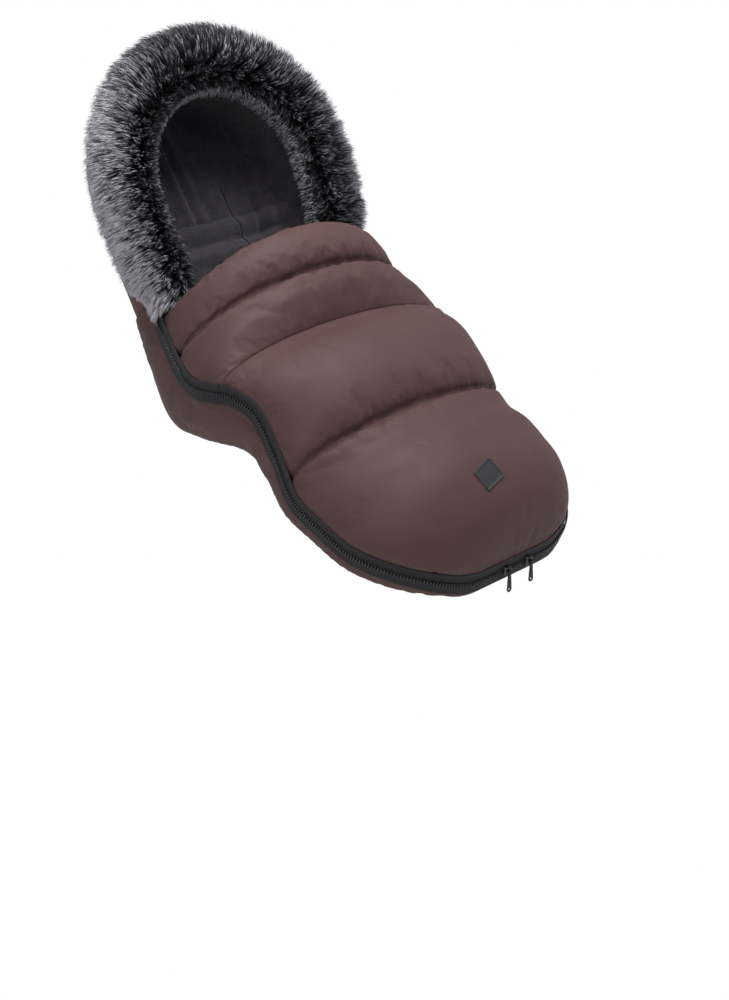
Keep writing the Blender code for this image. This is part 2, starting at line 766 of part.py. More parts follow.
def tab_outline(steps=9):
    """Outline of the pull: a narrow neck that widens to a round end."""
    turn = np.linspace(0, math.pi, steps)
    end = TAB_WIDTH / 2
    points = [(KNUCKLE_LENGTH / 2, -KNUCKLE_RADIUS / 2), (-KNUCKLE_LENGTH / 2, -KNUCKLE_RADIUS / 2)]
    points.append((-KNUCKLE_LENGTH / 2, -2 * KNUCKLE_RADIUS))
    low = -TAB_LENGTH + end
    points += [(-end * math.cos(t), low - end * math.sin(t)) for t in turn]
    points.append((KNUCKLE_LENGTH / 2, -2 * KNUCKLE_RADIUS))
    return points


def pull(side, pivot):
    """A pull that hangs from the slider's bar by a rolled knuckle."""
    turn = np.linspace(0, 2 * math.pi, 12, endpoint=False)
    eye = np.stack((np.cos(turn), np.sin(turn)), -1) * TAB_EYE / 2
    eye[:, 1] += TAB_WIDTH / 2 - TAB_LENGTH
    hanging = axes_of((1, 0, 0), (0, 0, 1))
    depth = KNUCKLE_RADIUS - TAB_WALL / 2
    tab = plate(
        f"tab_{side}",
        [tab_outline(), [tuple(p) for p in eye]],
        TAB_WALL,
        pivot + hanging.col[2].to_3d() * depth,
        hanging,
        METAL,
    )
    knuckle = rod(
        f"zip_pull_{side}", KNUCKLE_RADIUS, KNUCKLE_LENGTH, pivot, (1, 0, 0), METAL, 16
    )
    join(knuckle, [as_mesh(tab)], "tab")
    bore = rod(
        f"bore_{side}", BAR_RADIUS + GAP, 2 * KNUCKLE_LENGTH, pivot, (1, 0, 0), METAL, 12
    )
    cut(knuckle, [make_cutter(bore)], "bore")


for side, x in SLIDER_SIDES.items():
    slider(side, x)
for side, sign in (("left", -1), ("right", 1)):
    start = ZIP_TOP - GAP
    stop_seam = seam_path(np.linspace(start - STOP_LENGTH, start, 3), (sign,))
    stop_out = (CHAIN_OUT[0], CHAIN_OUT[1] + SLIDER_CLEAR)
    strip(f"zip_stop_{side}", stop_seam, stop_out, CHAIN_BELOW, METAL)
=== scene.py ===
import math

import bmesh
import bpy
import numpy as np
from mathutils import Matrix, Vector


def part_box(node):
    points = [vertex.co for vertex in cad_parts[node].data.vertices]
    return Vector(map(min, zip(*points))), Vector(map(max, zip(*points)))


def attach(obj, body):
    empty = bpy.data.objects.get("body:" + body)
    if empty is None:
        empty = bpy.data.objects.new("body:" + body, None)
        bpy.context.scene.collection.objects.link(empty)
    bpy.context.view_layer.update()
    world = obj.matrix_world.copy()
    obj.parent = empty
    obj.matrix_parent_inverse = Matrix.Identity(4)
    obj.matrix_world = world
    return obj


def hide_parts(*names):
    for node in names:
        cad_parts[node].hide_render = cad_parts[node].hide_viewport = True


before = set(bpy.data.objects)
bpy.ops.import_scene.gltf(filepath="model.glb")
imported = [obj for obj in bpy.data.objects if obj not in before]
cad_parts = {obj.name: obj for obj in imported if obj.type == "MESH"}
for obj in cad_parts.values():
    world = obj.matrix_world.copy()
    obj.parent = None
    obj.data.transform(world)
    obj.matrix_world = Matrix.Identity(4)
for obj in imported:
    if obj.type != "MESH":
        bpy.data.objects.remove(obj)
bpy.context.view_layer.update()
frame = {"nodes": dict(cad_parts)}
nodes = frame["nodes"]


# Camera, daylight and floor.  The camera stands in front of the bag to its left and
# looks down on it.  Soft lamps stand above, to the left and to the right, over a pale floor.
scene = bpy.context.scene
scene.view_settings.view_transform = "Standard"
EYE_PLACE = (-1.34587, -1.50136, 0.78756)
EYE_TURN = (65.7904, 0.3776, -44.0038)
EYE_LENS = 56.73
EYE_FILM = 36
eye = bpy.data.cameras.new("eye")
eye.lens = EYE_LENS
eye.sensor_width = EYE_FILM
camera = bpy.data.objects.new("eye", eye)
camera.location = EYE_PLACE
camera.rotation_euler = [math.radians(turn) for turn in EYE_TURN]
scene.collection.objects.link(camera)
scene.camera = camera


def lamp(name, place, target, size, power):
    """A square soft lamp at a place, turned to a target."""
    data = bpy.data.lights.new(name, "AREA")
    data.size = size
    data.energy = power
    made = bpy.data.objects.new(name, data)
    made.location = place
    made.rotation_euler = (Vector(target) - Vector(place)).to_track_quat("-Z", "Y").to_euler()
    scene.collection.objects.link(made)
    return made


MIDDLE = (0, 0, 0.1)
lamp("overhead_lamp", (0.0, -0.15, 1.6), MIDDLE, 1.0, 22)
lamp("front_lamp", (-2.4, -1.1, 1.4), MIDDLE, 1.6, 11)
lamp("side_lamp", (2.3, -0.9, 1.3), MIDDLE, 1.4, 6)


def put(tree, kind, inputs=None, **settings):
    """A shader node; each input takes a value or another node's socket."""
    made = tree.nodes.new(kind)
    for key, value in settings.items():
        setattr(made, key, value)
    for key, value in (inputs or {}).items():
        socket = made.inputs[key]
        if isinstance(value, bpy.types.NodeSocket):
            tree.links.new(value, socket)
        else:
            socket.default_value = value
    return made


def maths(tree, operation, *terms):
    """The result of one operation on values and sockets."""
    return put(tree, "ShaderNodeMath", dict(enumerate(terms)), operation=operation).outputs[0]


def feed(tree, shader, **sockets):
    """Links other nodes' outputs to a shader's inputs."""
    for key, socket in sockets.items():
        tree.links.new(socket, shader.inputs[key.replace("_", " ")])


world = bpy.data.worlds.new("studio")
scene.world = world
world.use_nodes = True
air = world.node_tree
air.nodes.clear()
rays = put(air, "ShaderNodeLightPath")
seen = maths(air, "MAXIMUM", rays.outputs["Is Camera Ray"], rays.outputs["Is Transmission Ray"])
soft_air = put(air, "ShaderNodeBackground", {"Color": (0.93, 0.96, 1, 1), "Strength": 0.3})
white_air = put(air, "ShaderNodeBackground", {"Color": (1, 1, 1, 1), "Strength": 1.0})
both_airs = put(air, "ShaderNodeMixShader", {0: seen, 1: soft_air.outputs[0], 2: white_air.outputs[0]})
put(air, "ShaderNodeOutputWorld", {"Surface": both_airs.outputs[0]})


def surface(name, colour, roughness, metallic=0.0, **constants):
    """A material whose Principled shader has these plain values.  Gives (material, tree,
    shader)."""
    made = bpy.data.materials.new(name)
    made.use_nodes = True
    shader = made.node_tree.nodes["Principled BSDF"]
    values = {"Base Color": (*colour, 1), "Roughness": roughness, "Metallic": metallic, **constants}
    for key, value in values.items():
        shader.inputs[key.replace("_", " ")].default_value = value
    return made, made.node_tree, shader


FLOOR_LEVEL = -0.30
FLOOR_HALF = 6.0
floor_paint, floor_tree, floor_shader = surface("pale_floor", (0.92, 0.92, 0.92), 0.9)
floor_rays = put(floor_tree, "ShaderNodeLightPath")
floor_glow = put(floor_tree, "ShaderNodeEmission", {"Color": (1, 1, 1, 1), "Strength": 1.0})
floor_both = put(
    floor_tree, "ShaderNodeMixShader",
    {0: floor_rays.outputs["Is Camera Ray"], 1: floor_shader.outputs[0], 2: floor_glow.outputs[0]},
)
feed(floor_tree, floor_tree.nodes["Material Output"], Surface=floor_both.outputs[0])
floor_mesh = bpy.data.meshes.new("floor")
floor_mesh.from_pydata(
    [(x * FLOOR_HALF, y * FLOOR_HALF, FLOOR_LEVEL) for x, y in ((-1, -1), (1, -1), (1, 1), (-1, 1))],
    [], [(0, 1, 2, 3)],
)
floor_mesh.materials.append(floor_paint)
floor = bpy.data.objects.new("floor", floor_mesh)
scene.collection.objects.link(floor)


# Back shell.  A padded tray of brown nylon under and beside the child.  Two layers of
# cloth hold the wadding, its edge is sewn to the zip, and a seam crosses each side.
REACH = 0.500
RISE = 0.300
HALF_WIDTH = 0.200
CROWN = 0.140
BED_DEPTH = 0.120
FOOT_ROUND = 0.131
FOOT_STRAIGHT = 0.050
SEAM_GAP = 0.0014
SPLIT_GAP = 0.0008
EDGE_BAND = 0.0125
SHELL_WALL = 0.016
SHELL_CELL = 0.0055
WADDING_PRESSURE = 4.0
WADDING_SLACK = 0.014
WADDING_CAP = 0.008
QUILT_STATIONS = (1.54, 4.40, 7.60)
# Down the seam line: level, height, half width, crown and bed depth as shares of the sizes
# above, and the upward direction's lean in degrees.
STATIONS = np.array((
    (0.240, 0.613, 0.860, 0.957, 0.754, 50),
    (0.154, 0.483, 0.925, 1.000, 0.875, 42),
    (0.060, 0.363, 0.980, 0.914, 1.000, 32),
    (-0.010, 0.333, 1.000, 0.821, 0.871, 22),
    (-0.070, 0.340, 0.990, 0.600, 0.840, 16),
    (-0.130, 0.343, 0.960, 0.420, 0.832, 14),
    (-0.200, 0.292, 0.925, 0.560, 0.792, 20),
    (-0.268, 0.145, 0.920, 0.700, 0.600, 32),
    (-0.336, -0.019, 0.935, 0.745, 0.430, 38),
    (-0.430, -0.097, 0.930, 0.793, 0.360, 30),
    (-0.508, -0.160, 0.905, 0.800, 0.330, 22),
    (-0.606, -0.206, 0.895, 0.780, 0.315, 16),
    (-0.686, -0.255, 0.890, 0.740, 0.310, 12),
    (-0.723, -0.308, 0.890, 0.620, 0.310, 8),
))


def between_stations(at):
    """Rows of the station table at fractional stations, on Catmull-Rom curves."""
    ends = np.vstack((2 * STATIONS[0] - STATIONS[1], STATIONS, 2 * STATIONS[-1] - STATIONS[-2]))
    left = np.clip(at.astype(int), 0, len(STATIONS) - 2)
    t = (at - left)[:, None]
    a, b, c, d = (ends[left + i] for i in range(4))
    bend = (2 * a - 5 * b + 4 * c - d) * t ** 2 + (3 * b - a - 3 * c + d) * t ** 3
    return 0.5 * (2 * b + (c - a) * t + bend)


fine_at = np.linspace(0, len(STATIONS) - 1, 900)  # fractional stations down the seam line
fine = between_stations(fine_at)
fine_along = np.concatenate(
    ([0], np.cumsum(np.hypot(np.diff(fine[:, 0]) * REACH, np.diff(fine[:, 1]) * RISE)))
)
SEAM_LENGTH = fine_along[-1]
CHEST_LINE, FOLD_LINE, SHIN_LINE = np.interp(QUILT_STATIONS, fine_at, fine_along)


def seam_at(along, inset=0.0):
    """Seam point, upward direction, half width, (crown, bed depth) and end share at a
    distance down the seam line.  Width and depths shrink by the inset.  The end share falls
    from 1 to 0 in a quarter circle over the foot's rounding, and the width falls with it."""
    level, height, width, crown, bed, lean = (
        np.interp(along, fine_along, fine[:, i]) for i in range(6)
    )
    lean = np.radians(lean)
    seam = np.stack((level * REACH, height * RISE), -1)
    up = np.stack((-np.sin(lean), np.cos(lean)), -1)
    share = np.clip((along - SEAM_LENGTH + inset + FOOT_ROUND) / FOOT_ROUND, 0, 1)
    end = np.sqrt(1 - share ** 2)
    half = FOOT_STRAIGHT + (width * HALF_WIDTH - inset - FOOT_STRAIGHT) * end
    return seam, up, half, (crown * CROWN - inset, bed * BED_DEPTH - inset), end


def oval(seam, up, half, height, turn, fullness, lift):
    """A superellipse over the seam: across is half times the cosine of the turn to the
    power two over the fullness, rise is height times the sine to that power."""
    across = np.cos(turn)
    rise = np.abs(np.sin(turn)) ** (2 / fullness) * height + lift
    x = -half * np.sign(across) * np.abs(across) ** (2 / fullness)
    x, _ = np.broadcast_arrays(x, rise)
    return np.stack((x, seam[..., 0] + up[..., 0] * rise, seam[..., 1] + up[..., 1] * rise), -1)


def under_sheet(along, turn, inset=0.0, band=0.0):
    """The shell's cloth: an oval of fullness 4 hung below the seam, past a flat band."""
    seam, up, half, (_, bed), end = seam_at(along, inset)
    return oval(seam, -up, half, (bed - band) * end, turn, 4.0, SEAM_GAP / 2 + band)


def run_of(points):
    """Distance run along a line of points, from the first."""
    return np.concatenate(([0], np.cumsum(np.linalg.norm(np.diff(points, axis=0), axis=1))))


def even_steps(point_at, first, last, pitch):
    """Values whose points on a curve lie about a pitch apart, by summed fine steps."""
    values = np.linspace(first, last, 800)
    run = run_of(point_at(values))
    return np.interp(np.linspace(0, run[-1], round(run[-1] / pitch) + 1), run, values)


def cells(rows, columns):
    """Quads between neighbouring points of a grid whose points are numbered row by row."""
    corner = (np.arange(rows - 1)[:, None] * columns + np.arange(columns - 1)).ravel()
    return np.stack((corner, corner + 1, corner + columns + 1, corner + columns), -1)


def mesh_of(name, points, faces, uv=None):
    """A mesh from arrays of points and of faces with one count of corners each.  The
    pattern's place on the cloth, in metres, is stored per corner as the map weave."""
    made = bpy.data.meshes.new(name)
    made.vertices.add(len(points))
    made.vertices.foreach_set("co", np.ascontiguousarray(points, np.float32).ravel())
    made.loops.add(faces.size)
    made.loops.foreach_set("vertex_index", faces.ravel().astype(np.int32))
    made.polygons.add(len(faces))
    made.polygons.foreach_set("loop_start", np.arange(0, faces.size, faces.shape[1], dtype=np.int32))
    if uv is not None:
        layer = made.uv_layers.new(name="weave")
        layer.data.foreach_set("uv", uv[faces.ravel()].astype(np.float32).ravel())
    made.update(calc_edges=True)
    made.shade_smooth()
    return made


def piece(name, mesh, finish, body, slot, *nodes):
    """An object of the bag: its finish, the body it moves with, and what it stands for."""
    mesh.materials.append(finish)
    made = bpy.data.objects.new(name, mesh)
    scene.collection.objects.link(made)
    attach(made, body)
    if nodes:
        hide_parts(*nodes)
    return made


def blown(grid, held, pressure, slack, cap, outward=1):
    """Cloth over wadding: the grid is sewn down where held is 1, is cut larger by the
    slack, and is let swell for twenty steps.  No point moves further than about the cap."""
    rows, columns = grid.shape[:2]
    faces = cells(rows, columns)
    if outward < 0:
        faces = faces[:, ::-1]
    sheet = bpy.data.objects.new("cloth", mesh_of("cloth", grid.reshape(-1, 3), faces))
    scene.collection.objects.link(sheet)
    sewn = sheet.vertex_groups.new(name="sewn")
    for weight in np.unique(held[held > 0]):
        sewn.add(np.flatnonzero(held.ravel() == weight).tolist(), float(weight), "REPLACE")
    cloth = sheet.modifiers.new("cloth", "CLOTH")
    facts = cloth.settings
    facts.quality = 7
    facts.mass = 0.25
    facts.tension_stiffness = 25
    facts.compression_stiffness = 12
    facts.shear_stiffness = 4
    facts.bending_stiffness = 0.15
    facts.use_pressure = True
    facts.uniform_pressure_force = pressure
    facts.shrink_min = -slack
    facts.vertex_group_mass = "sewn"
    facts.effector_weights.gravity = 0
    cloth.collision_settings.use_collision = False
    for step in range(1, 21):
        scene.frame_set(step)
    settled = sheet.evaluated_get(bpy.context.evaluated_depsgraph_get()).to_mesh()
    points = np.empty(grid.size, np.float32)
    settled.vertices.foreach_get("co", points)
    bpy.data.objects.remove(sheet)
    scene.frame_set(1)
    move = points.reshape(grid.shape) - grid
    far = np.maximum(np.linalg.norm(move, axis=-1, keepdims=True), 1e-9)
    return grid + move * (cap * np.tanh(far / cap) / far)


def finer(grid):
    """The grid with a point added between each two, on the cubic through four: nine
    sixteenths of the two nearest less one sixteenth of the next two."""
    for axis in (0, 1):
        line = np.moveaxis(grid, axis, 0)
        ends = np.concatenate((2 * line[:1] - line[1:2], line, 2 * line[-1:] - line[-2:-1]))
        more = np.empty((2 * len(line) - 1, *line.shape[1:]))
        more[::2] = line
        more[1::2] = (9 * (ends[1:-2] + ends[2:-1]) - ends[:-3] - ends[3:]) / 16
        grid = np.moveaxis(more, 0, axis)
    return grid


def facing(grid, outward=1):
    """Unit normals of a grid, from the cross product of its steps down and across."""
    normal = np.cross(np.gradient(grid, axis=1), np.gradient(grid, axis=0)) * outward
    return normal / np.maximum(np.linalg.norm(normal, axis=-1, keepdims=True), 1e-12)


def run_along(grid, axis):
    """Distance run along each row or column of a grid, from its middle."""
    step = np.linalg.norm(np.diff(grid, axis=axis), axis=-1)
    shape = list(step.shape)
    shape[axis] = 1
    run = np.concatenate((np.zeros(shape), np.cumsum(step, axis=axis)), axis)
    return run - np.take(run, [run.shape[axis] // 2], axis)


def edge_of(rows, columns, whole=True):
    """Numbers of the points round a grid: down its first column, along its last row, up
    its last column and back.  Not whole leaves the last row out and starts there."""
    number = np.arange(rows * columns).reshape(rows, columns)
    if whole:
        return np.concatenate((number[:, 0], number[-1, 1:], number[-2::-1, -1], number[0, -2:0:-1]))
    return np.concatenate((number[::-1, 0], number[0, 1:], number[1:, -1]))


def quilt(name, outer, rings, inner, whole=True):
    """A closed mesh of two grids of cloth joined round their edges over rings of points,
    with the pattern's place running on over all of it."""
    rows, columns = outer.shape[:2]
    edge = edge_of(rows, columns, whole)
    count = rows * columns
    spot = np.stack((run_along(outer, 1), run_along(outer, 0)), -1).reshape(-1, 2)
    points = [outer.reshape(-1, 3), inner.reshape(-1, 3), *rings]
    uv = [spot, spot] + [spot[edge] + 0.004 * (k + 1) for k in range(len(rings))]
    loops = [edge]
    loops += [2 * count + k * len(edge) + np.arange(len(edge)) for k in range(len(rings))]
    loops += [count + edge]
    faces = [cells(rows, columns), cells(rows, columns)[:, ::-1] + count]
    for near, far in zip(loops, loops[1:]):
        if whole:
            near, far = np.append(near, near[0]), np.append(far, far[0])
        faces.append(np.stack((near[:-1], far[:-1], far[1:], near[1:]), -1))
    mesh = mesh_of(name, np.concatenate(points), np.concatenate(faces), np.concatenate(uv))
    bm = bmesh.new()
    bm.from_mesh(mesh)
    if not whole:
        bm.verts.ensure_lookup_table()
        last = np.arange(count - columns, count)
        ends = np.concatenate([last, last + count] + [loop[[0, -1]] for loop in loops[1:-1]])
        bmesh.ops.remove_doubles(bm, verts=[bm.verts[i] for i in ends], dist=1e-5)
    bmesh.ops.recalc_face_normals(bm, faces=bm.faces)
    if bm.calc_volume(signed=True) < 0:
        bmesh.ops.reverse_faces(bm, faces=bm.faces)
    bm.to_mesh(mesh)
    bm.free()
    mesh.shade_smooth()
    return mesh


def stretched(steps, count):
    """The same steps shared out over a count."""
    return np.interp(np.linspace(0, 1, count), np.linspace(0, 1, steps.size), steps)


def tucked(rows, inset):
    """The same rows drawn in so that the last ends an inset sooner."""
    first = rows.min(axis=0)
    return first + (rows - first) * (SEAM_LENGTH - inset - first) / (SEAM_LENGTH - first)


def nearest_row(rows, along):
    """Number of the row that lies nearest a distance down the seam line."""
    return int(np.argmin(np.abs(rows - along)))


def folds(run, seed, pitch):
    """Small folds side by side: a cubic through random heights a pitch apart."""
    chance = np.random.default_rng(seed).uniform(-1, 1, 400)
    place = run / pitch + 200
    left = np.clip(np.floor(place).astype(int), 1, 397)
    t = place - left
    a, b, c, d = (chance[left + k] for k in (-1, 0, 1, 2))
    return b + 0.5 * t * (c - a + t * (2 * a - 5 * b + 4 * c - d + t * (3 * (b - c) + d - a)))


FOLD_PITCHES = ((1.0, 0.0085), (0.5, 0.0052))
SLANT_PITCH = 0.05
REACH_PITCH = 0.011
STITCH_HOLD = 0.0015


def gathered(grid, gap, height, reach, seed, outward=1):
    """Cloth drawn together along a seam: folds across the seam that stand out by a height
    at the seam and die away over a reach that changes from fold to fold."""
    run = run_along(grid, 1)
    slant = gap * folds(run, seed + 1, SLANT_PITCH) * 0.5
    fine_folds = sum(
        share * folds(run + slant, seed + 2 + k, pitch) for k, (share, pitch) in enumerate(FOLD_PITCHES)
    )
    length = reach * np.maximum(0.65 + 0.5 * folds(run, seed + 4, REACH_PITCH), 0.2)
    fall = np.exp(-gap / length) * (1 - np.exp(-gap / STITCH_HOLD))
    return grid + facing(grid, outward) * (height * fine_folds * fall)[..., None]


def noise(tree, place, scale, detail=2.0, roughness=0.5, distortion=0.0):
    """Random values that change smoothly from place to place."""
    inputs = {"Vector": place, "Scale": scale, "Detail": detail, "Roughness": roughness,
              "Distortion": distortion}
    return put(tree, "ShaderNodeTexNoise", inputs).outputs["Fac"]


def blended(tree, share, dark, light):
    """The shade at a share of the way from dark to light."""
    return put(tree, "ShaderNodeMix", {0: share, 6: dark, 7: light}, data_type="RGBA").outputs[2]


def mapped(tree, value, low, high, first=0.0, last=1.0):
    """A value between first and last, moved to between low and high."""
    inputs = {"Value": value, "From Min": first, "From Max": last, "To Min": low, "To Max": high}
    return put(tree, "ShaderNodeMapRange", inputs).outputs[0]


def relief(tree, height, strength, depth):
    """The normals of a surface with a bump of a strength and a depth."""
    inputs = {"Strength": strength, "Distance": depth, "Height": height}
    return put(tree, "ShaderNodeBump", inputs).outputs[0]


def cloth_group(name, outputs):
    """A node group that takes a place on the cloth and two shades.  Gives the group and
    those three sockets."""
    made = bpy.data.node_groups.new(name, "ShaderNodeTree")
    for label, kind in (("Place", "Vector"), ("Dark shade", "Color"), ("Light shade", "Color")):
        made.interface.new_socket(label, in_out="INPUT", socket_type=f"NodeSocket{kind}")
    for label in outputs:
        kind = "Color" if label == "Shade" else "Float"
        made.interface.new_socket(label, in_out="OUTPUT", socket_type=f"NodeSocket{kind}")
    return made, put(made, "NodeGroupInput").outputs


def nylon_cloth():
    """Node group for woven nylon: a plain weave 1.1 mm apart, soft creases, and slight
    changes of shade.  Place is in metres on the cloth."""
    made, given = cloth_group("nylon_cloth", ("Shade", "Roughness", "Height"))
    place = given["Place"]
    threads = [
        put(made, "ShaderNodeTexWave", {"Vector": place, "Scale": 285.0, "Distortion": 0.4,
                                        "Detail": 1.0, "Detail Scale": 2.0},
            bands_direction=way).outputs["Fac"]
        for way in ("X", "Y")
    ]
    weave = maths(made, "MULTIPLY", *threads)
    crease = noise(made, place, 42.0, 3.0, 0.55, 0.6)
    share = maths(made, "MULTIPLY_ADD", weave, 0.18, noise(made, place, 9.0))
    put(made, "NodeGroupOutput", {
        "Shade": blended(made, share, given["Dark shade"], given["Light shade"]),
        "Roughness": mapped(made, crease, 0.47, 0.58, 0.3, 0.7),
        "Height": maths(made, "MULTIPLY_ADD", weave, 0.10, crease),
    })
    return made


def fabric(name, cloth, dark, light, bump, colour, roughness, **constants):
    """A fabric finish: a cloth group on the piece's own map, between two shades, with a
    bump of (strength, depth)."""
    made, tree, shader = surface(name, colour, roughness, **constants)
    spot = put(tree, "ShaderNodeUVMap", uv_map="weave").outputs[0]
    inputs = {"Place": spot, "Dark shade": (*dark, 1), "Light shade": (*light, 1)}
    given = put(tree, "ShaderNodeGroup", inputs, node_tree=cloth).outputs
    feed(tree, shader, Base_Color=given["Shade"], Normal=relief(tree, given["Height"], *bump))
    if "Roughness" in given:
        feed(tree, shader, Roughness=given["Roughness"])
    return made


nylon_weave = nylon_cloth()


def woven(name, light, dark, sheen, depth):
    """A finish of woven nylon with a warm sheen."""
    return fabric(name, nylon_weave, dark, light, (0.5, depth), light, 0.55, Sheen_Weight=sheen,
                  Sheen_Roughness=0.4, Sheen_Tint=(0.75, 0.45, 0.43, 1), Specular_IOR_Level=0.2)


nylon = woven("brown_nylon", (0.128, 0.070, 0.067), (0.100, 0.053, 0.051), 0.06, 0.0010)

shell_rows = even_steps(
    lambda along: under_sheet(along, math.pi / 2, 0, EDGE_BAND), SPLIT_GAP / 2, SEAM_LENGTH, SHELL_CELL
)[:, None]
shell_turns = even_steps(
    lambda turn: under_sheet(FOLD_LINE, turn, 0, EDGE_BAND), 0, math.pi, SHELL_CELL
)[None, :]
SIDE_SEAM = 0.155
SIDE_SEAM_FROM = 0.12
SIDE_GATHER = 0.0014
SIDE_GATHER_REACH = 0.018
SEAT_PATCH = (0.130, 0.052)
CROTCH_SLOT = (0.0, -0.046, 0.052, 0.020)
HIP_SLOTS = ((-0.108, 0.030, 0.020, 0.048), (0.108, 0.030, 0.020, 0.048))
SLOT_MARGIN = 0.014
SLOT_CUT_MIDDLE = 0.03
SLOT_CUT_DEPTH = 0.09


def near_box(grid, middle, size, margin):
    """1 inside a level box of a size and 0 past a margin round it, in a smooth fall."""
    gap = np.abs(grid[..., :2] - np.array(middle)) - np.array(size) / 2
    gap = np.linalg.norm(np.maximum(gap, 0), axis=-1)
    share = np.clip(1 - gap / margin, 0, 1)
    return share ** 2 * (3 - 2 * share)


shell = under_sheet(shell_rows, shell_turns, 0, EDGE_BAND)
sewn = np.zeros(shell.shape[:2])
sewn[[0, -1]] = sewn[:, [0, -1]] = 1
side_row = nearest_row(shell_rows, SIDE_SEAM)
sewn[side_row, np.abs(shell[side_row, :, 0]) > SIDE_SEAM_FROM] = 1
flat = near_box(shell, (0, 0), SEAT_PATCH, SLOT_MARGIN)
for x, y, across, down in (CROTCH_SLOT, *HIP_SLOTS):
    flat = np.maximum(flat, near_box(shell, (x, y), (across, down), SLOT_MARGIN))
low = shell[..., 2] < shell[..., 2].min(axis=1)[:, None] + 0.02
flat = flat * low
sewn = np.where(flat > 0.5, 1, sewn)
sewn[low & (sewn < 1)] = 0.5
loose = blown(shell, sewn, WADDING_PRESSURE, WADDING_SLACK, WADDING_CAP)
shell = finer(shell + (loose - shell) * (1 - flat)[..., None])
fine_rows = finer(np.repeat(shell_rows, 2, 1)[..., None])[:, :1, 0]
side_gap = np.abs(fine_rows - SIDE_SEAM) + 0.2 * (np.abs(shell[..., 0]) < SIDE_SEAM_FROM - 0.01)
shell = gathered(shell, side_gap, SIDE_GATHER, SIDE_GATHER_REACH, 11)

ups = np.zeros(shell.shape)
fine_turns = stretched(shell_turns[0], shell.shape[1])[None, :]
ups[..., 1:] = seam_at(fine_rows)[1]
shell_in = under_sheet(tucked(fine_rows, SHELL_WALL), fine_turns, SHELL_WALL)
ring = shell + ups * EDGE_BAND
ring[0, 1:-1] = (shell[0, 1:-1] + shell_in[0, 1:-1]) / 2
mesh = quilt("back_shell", shell, [ring.reshape(-1, 3)[edge_of(*shell.shape[:2])]], shell_in)
back_shell = piece("back_shell_quilted", mesh, nylon, "bag", "brown_nylon", "back_shell")


def pierced(target, holes):
    """Cuts box-shaped holes through a piece, each (middle, across, down, axes, depth)."""
    cutters = []
    for middle, across, down, axes, depth in holes:
        bm = bmesh.new()
        bmesh.ops.create_cube(bm, size=1.0, matrix=Matrix.Translation(middle) @ axes
                              @ Matrix.Diagonal((across, down, depth, 1)))
        mesh = bpy.data.meshes.new("hole")
        bm.to_mesh(mesh)
        bm.free()
        cutters.append(bpy.data.objects.new("hole", mesh))
        scene.collection.objects.link(cutters[-1])
        step = target.modifiers.new("hole", "BOOLEAN")
        step.object = cutters[-1]
        step.solver = "MANIFOLD"
    whole = target.evaluated_get(bpy.context.evaluated_depsgraph_get())
    mesh = bpy.data.meshes.new_from_object(whole, preserve_all_data_layers=True,
                                           depsgraph=bpy.context.evaluated_depsgraph_get())
    target.modifiers.clear()
    target.data = mesh
    for cutter in cutters:
        bpy.data.objects.remove(cutter)


SEAT_HOLES = [
    ((x, y, SLOT_CUT_MIDDLE), across, down, Matrix.Identity(4), SLOT_CUT_DEPTH)
    for x, y, across, down in (CROTCH_SLOT, *HIP_SLOTS)
]
pierced(back_shell, SEAT_HOLES)


# Hood shell.  The same quilted nylon, sewn to the shell at the shoulders, standing up
# behind the head and closed in a round at its top, with three seams down its back.
RIM_LENGTH = 0.297
RIM_LEAN = math.radians(67.0)
BACK_LENGTH = 0.336
BACK_LEAN = math.radians(54.6)
RIM_HALF_WIDTH = 0.171
HEAD_ROUND = 0.165
HOOD_CELL = 0.0065
HOOD_SEAM_SHARES = (0.24, 0.76)
MID_RIM = 0.1
RIM_ROLL = 0.004
BACK_PATCH = (0.120, 0.090)
BACK_PATCH_SHARE = 0.69
SHOULDER_SLOT = (0.022, 0.110)
SHOULDER_SLOT_SIDE = 0.062
SHOULDER_SLOT_SHARE = 0.31
SHOULDER_CUT_IN = 0.013
SHOULDER_CUT_DEPTH = 0.05
BACK_REACH = 0.03


def rim_at(along, inset=0.0):
    """Rim point, forward direction, half width and depth of the hood at a distance up its
    rim.  Rim and back are straight seen from the side; the width closes in a quarter circle."""
    first, first_up, first_half, (_, first_bed), _ = seam_at(np.zeros(1))
    bed = first[0] - first_up[0] * first_bed[0]
    share = (along / RIM_LENGTH)[..., None]
    rim = first[0] + RIM_LENGTH * share * np.array((math.cos(RIM_LEAN), math.sin(RIM_LEAN)))
    back = bed + BACK_LENGTH * share * np.array((math.cos(BACK_LEAN), math.sin(BACK_LEAN)))
    depth = np.linalg.norm(rim - back, axis=-1)
    forward = (rim - back) / depth[..., None]
    half = first_half[0] + (RIM_HALF_WIDTH - first_half[0]) * np.clip(2 * share[..., 0], 0, 1)
    closing = np.clip((along - RIM_LENGTH + inset + HEAD_ROUND) / HEAD_ROUND, 0, 1)
    return rim, forward, (half - inset) * np.sqrt(1 - closing ** 2), depth - inset


def hood_sheet(along, turn, inset=0.0):
    """The hood's cloth: an oval of fullness 4 behind the rim."""
    rim, forward, half, depth = rim_at(along, inset)
    return oval(rim, -forward, half, depth, turn, 4.0, SEAM_GAP / 2)


def back_point(share):
    """Middle of the hood's outer back at a share of its length."""
    rim, forward, _, depth = rim_at(np.array([share * RIM_LENGTH]))
    return Vector((0, *(rim[0] - forward[0] * (depth[0] + SEAM_GAP / 2))))


back_up = Vector((0, math.cos(BACK_LEAN), math.sin(BACK_LEAN)))
back_out = Vector((0, math.sin(BACK_LEAN), -math.cos(BACK_LEAN)))
back_axes = Matrix((Vector((-1, 0, 0)), back_up, back_out)).transposed().to_4x4()


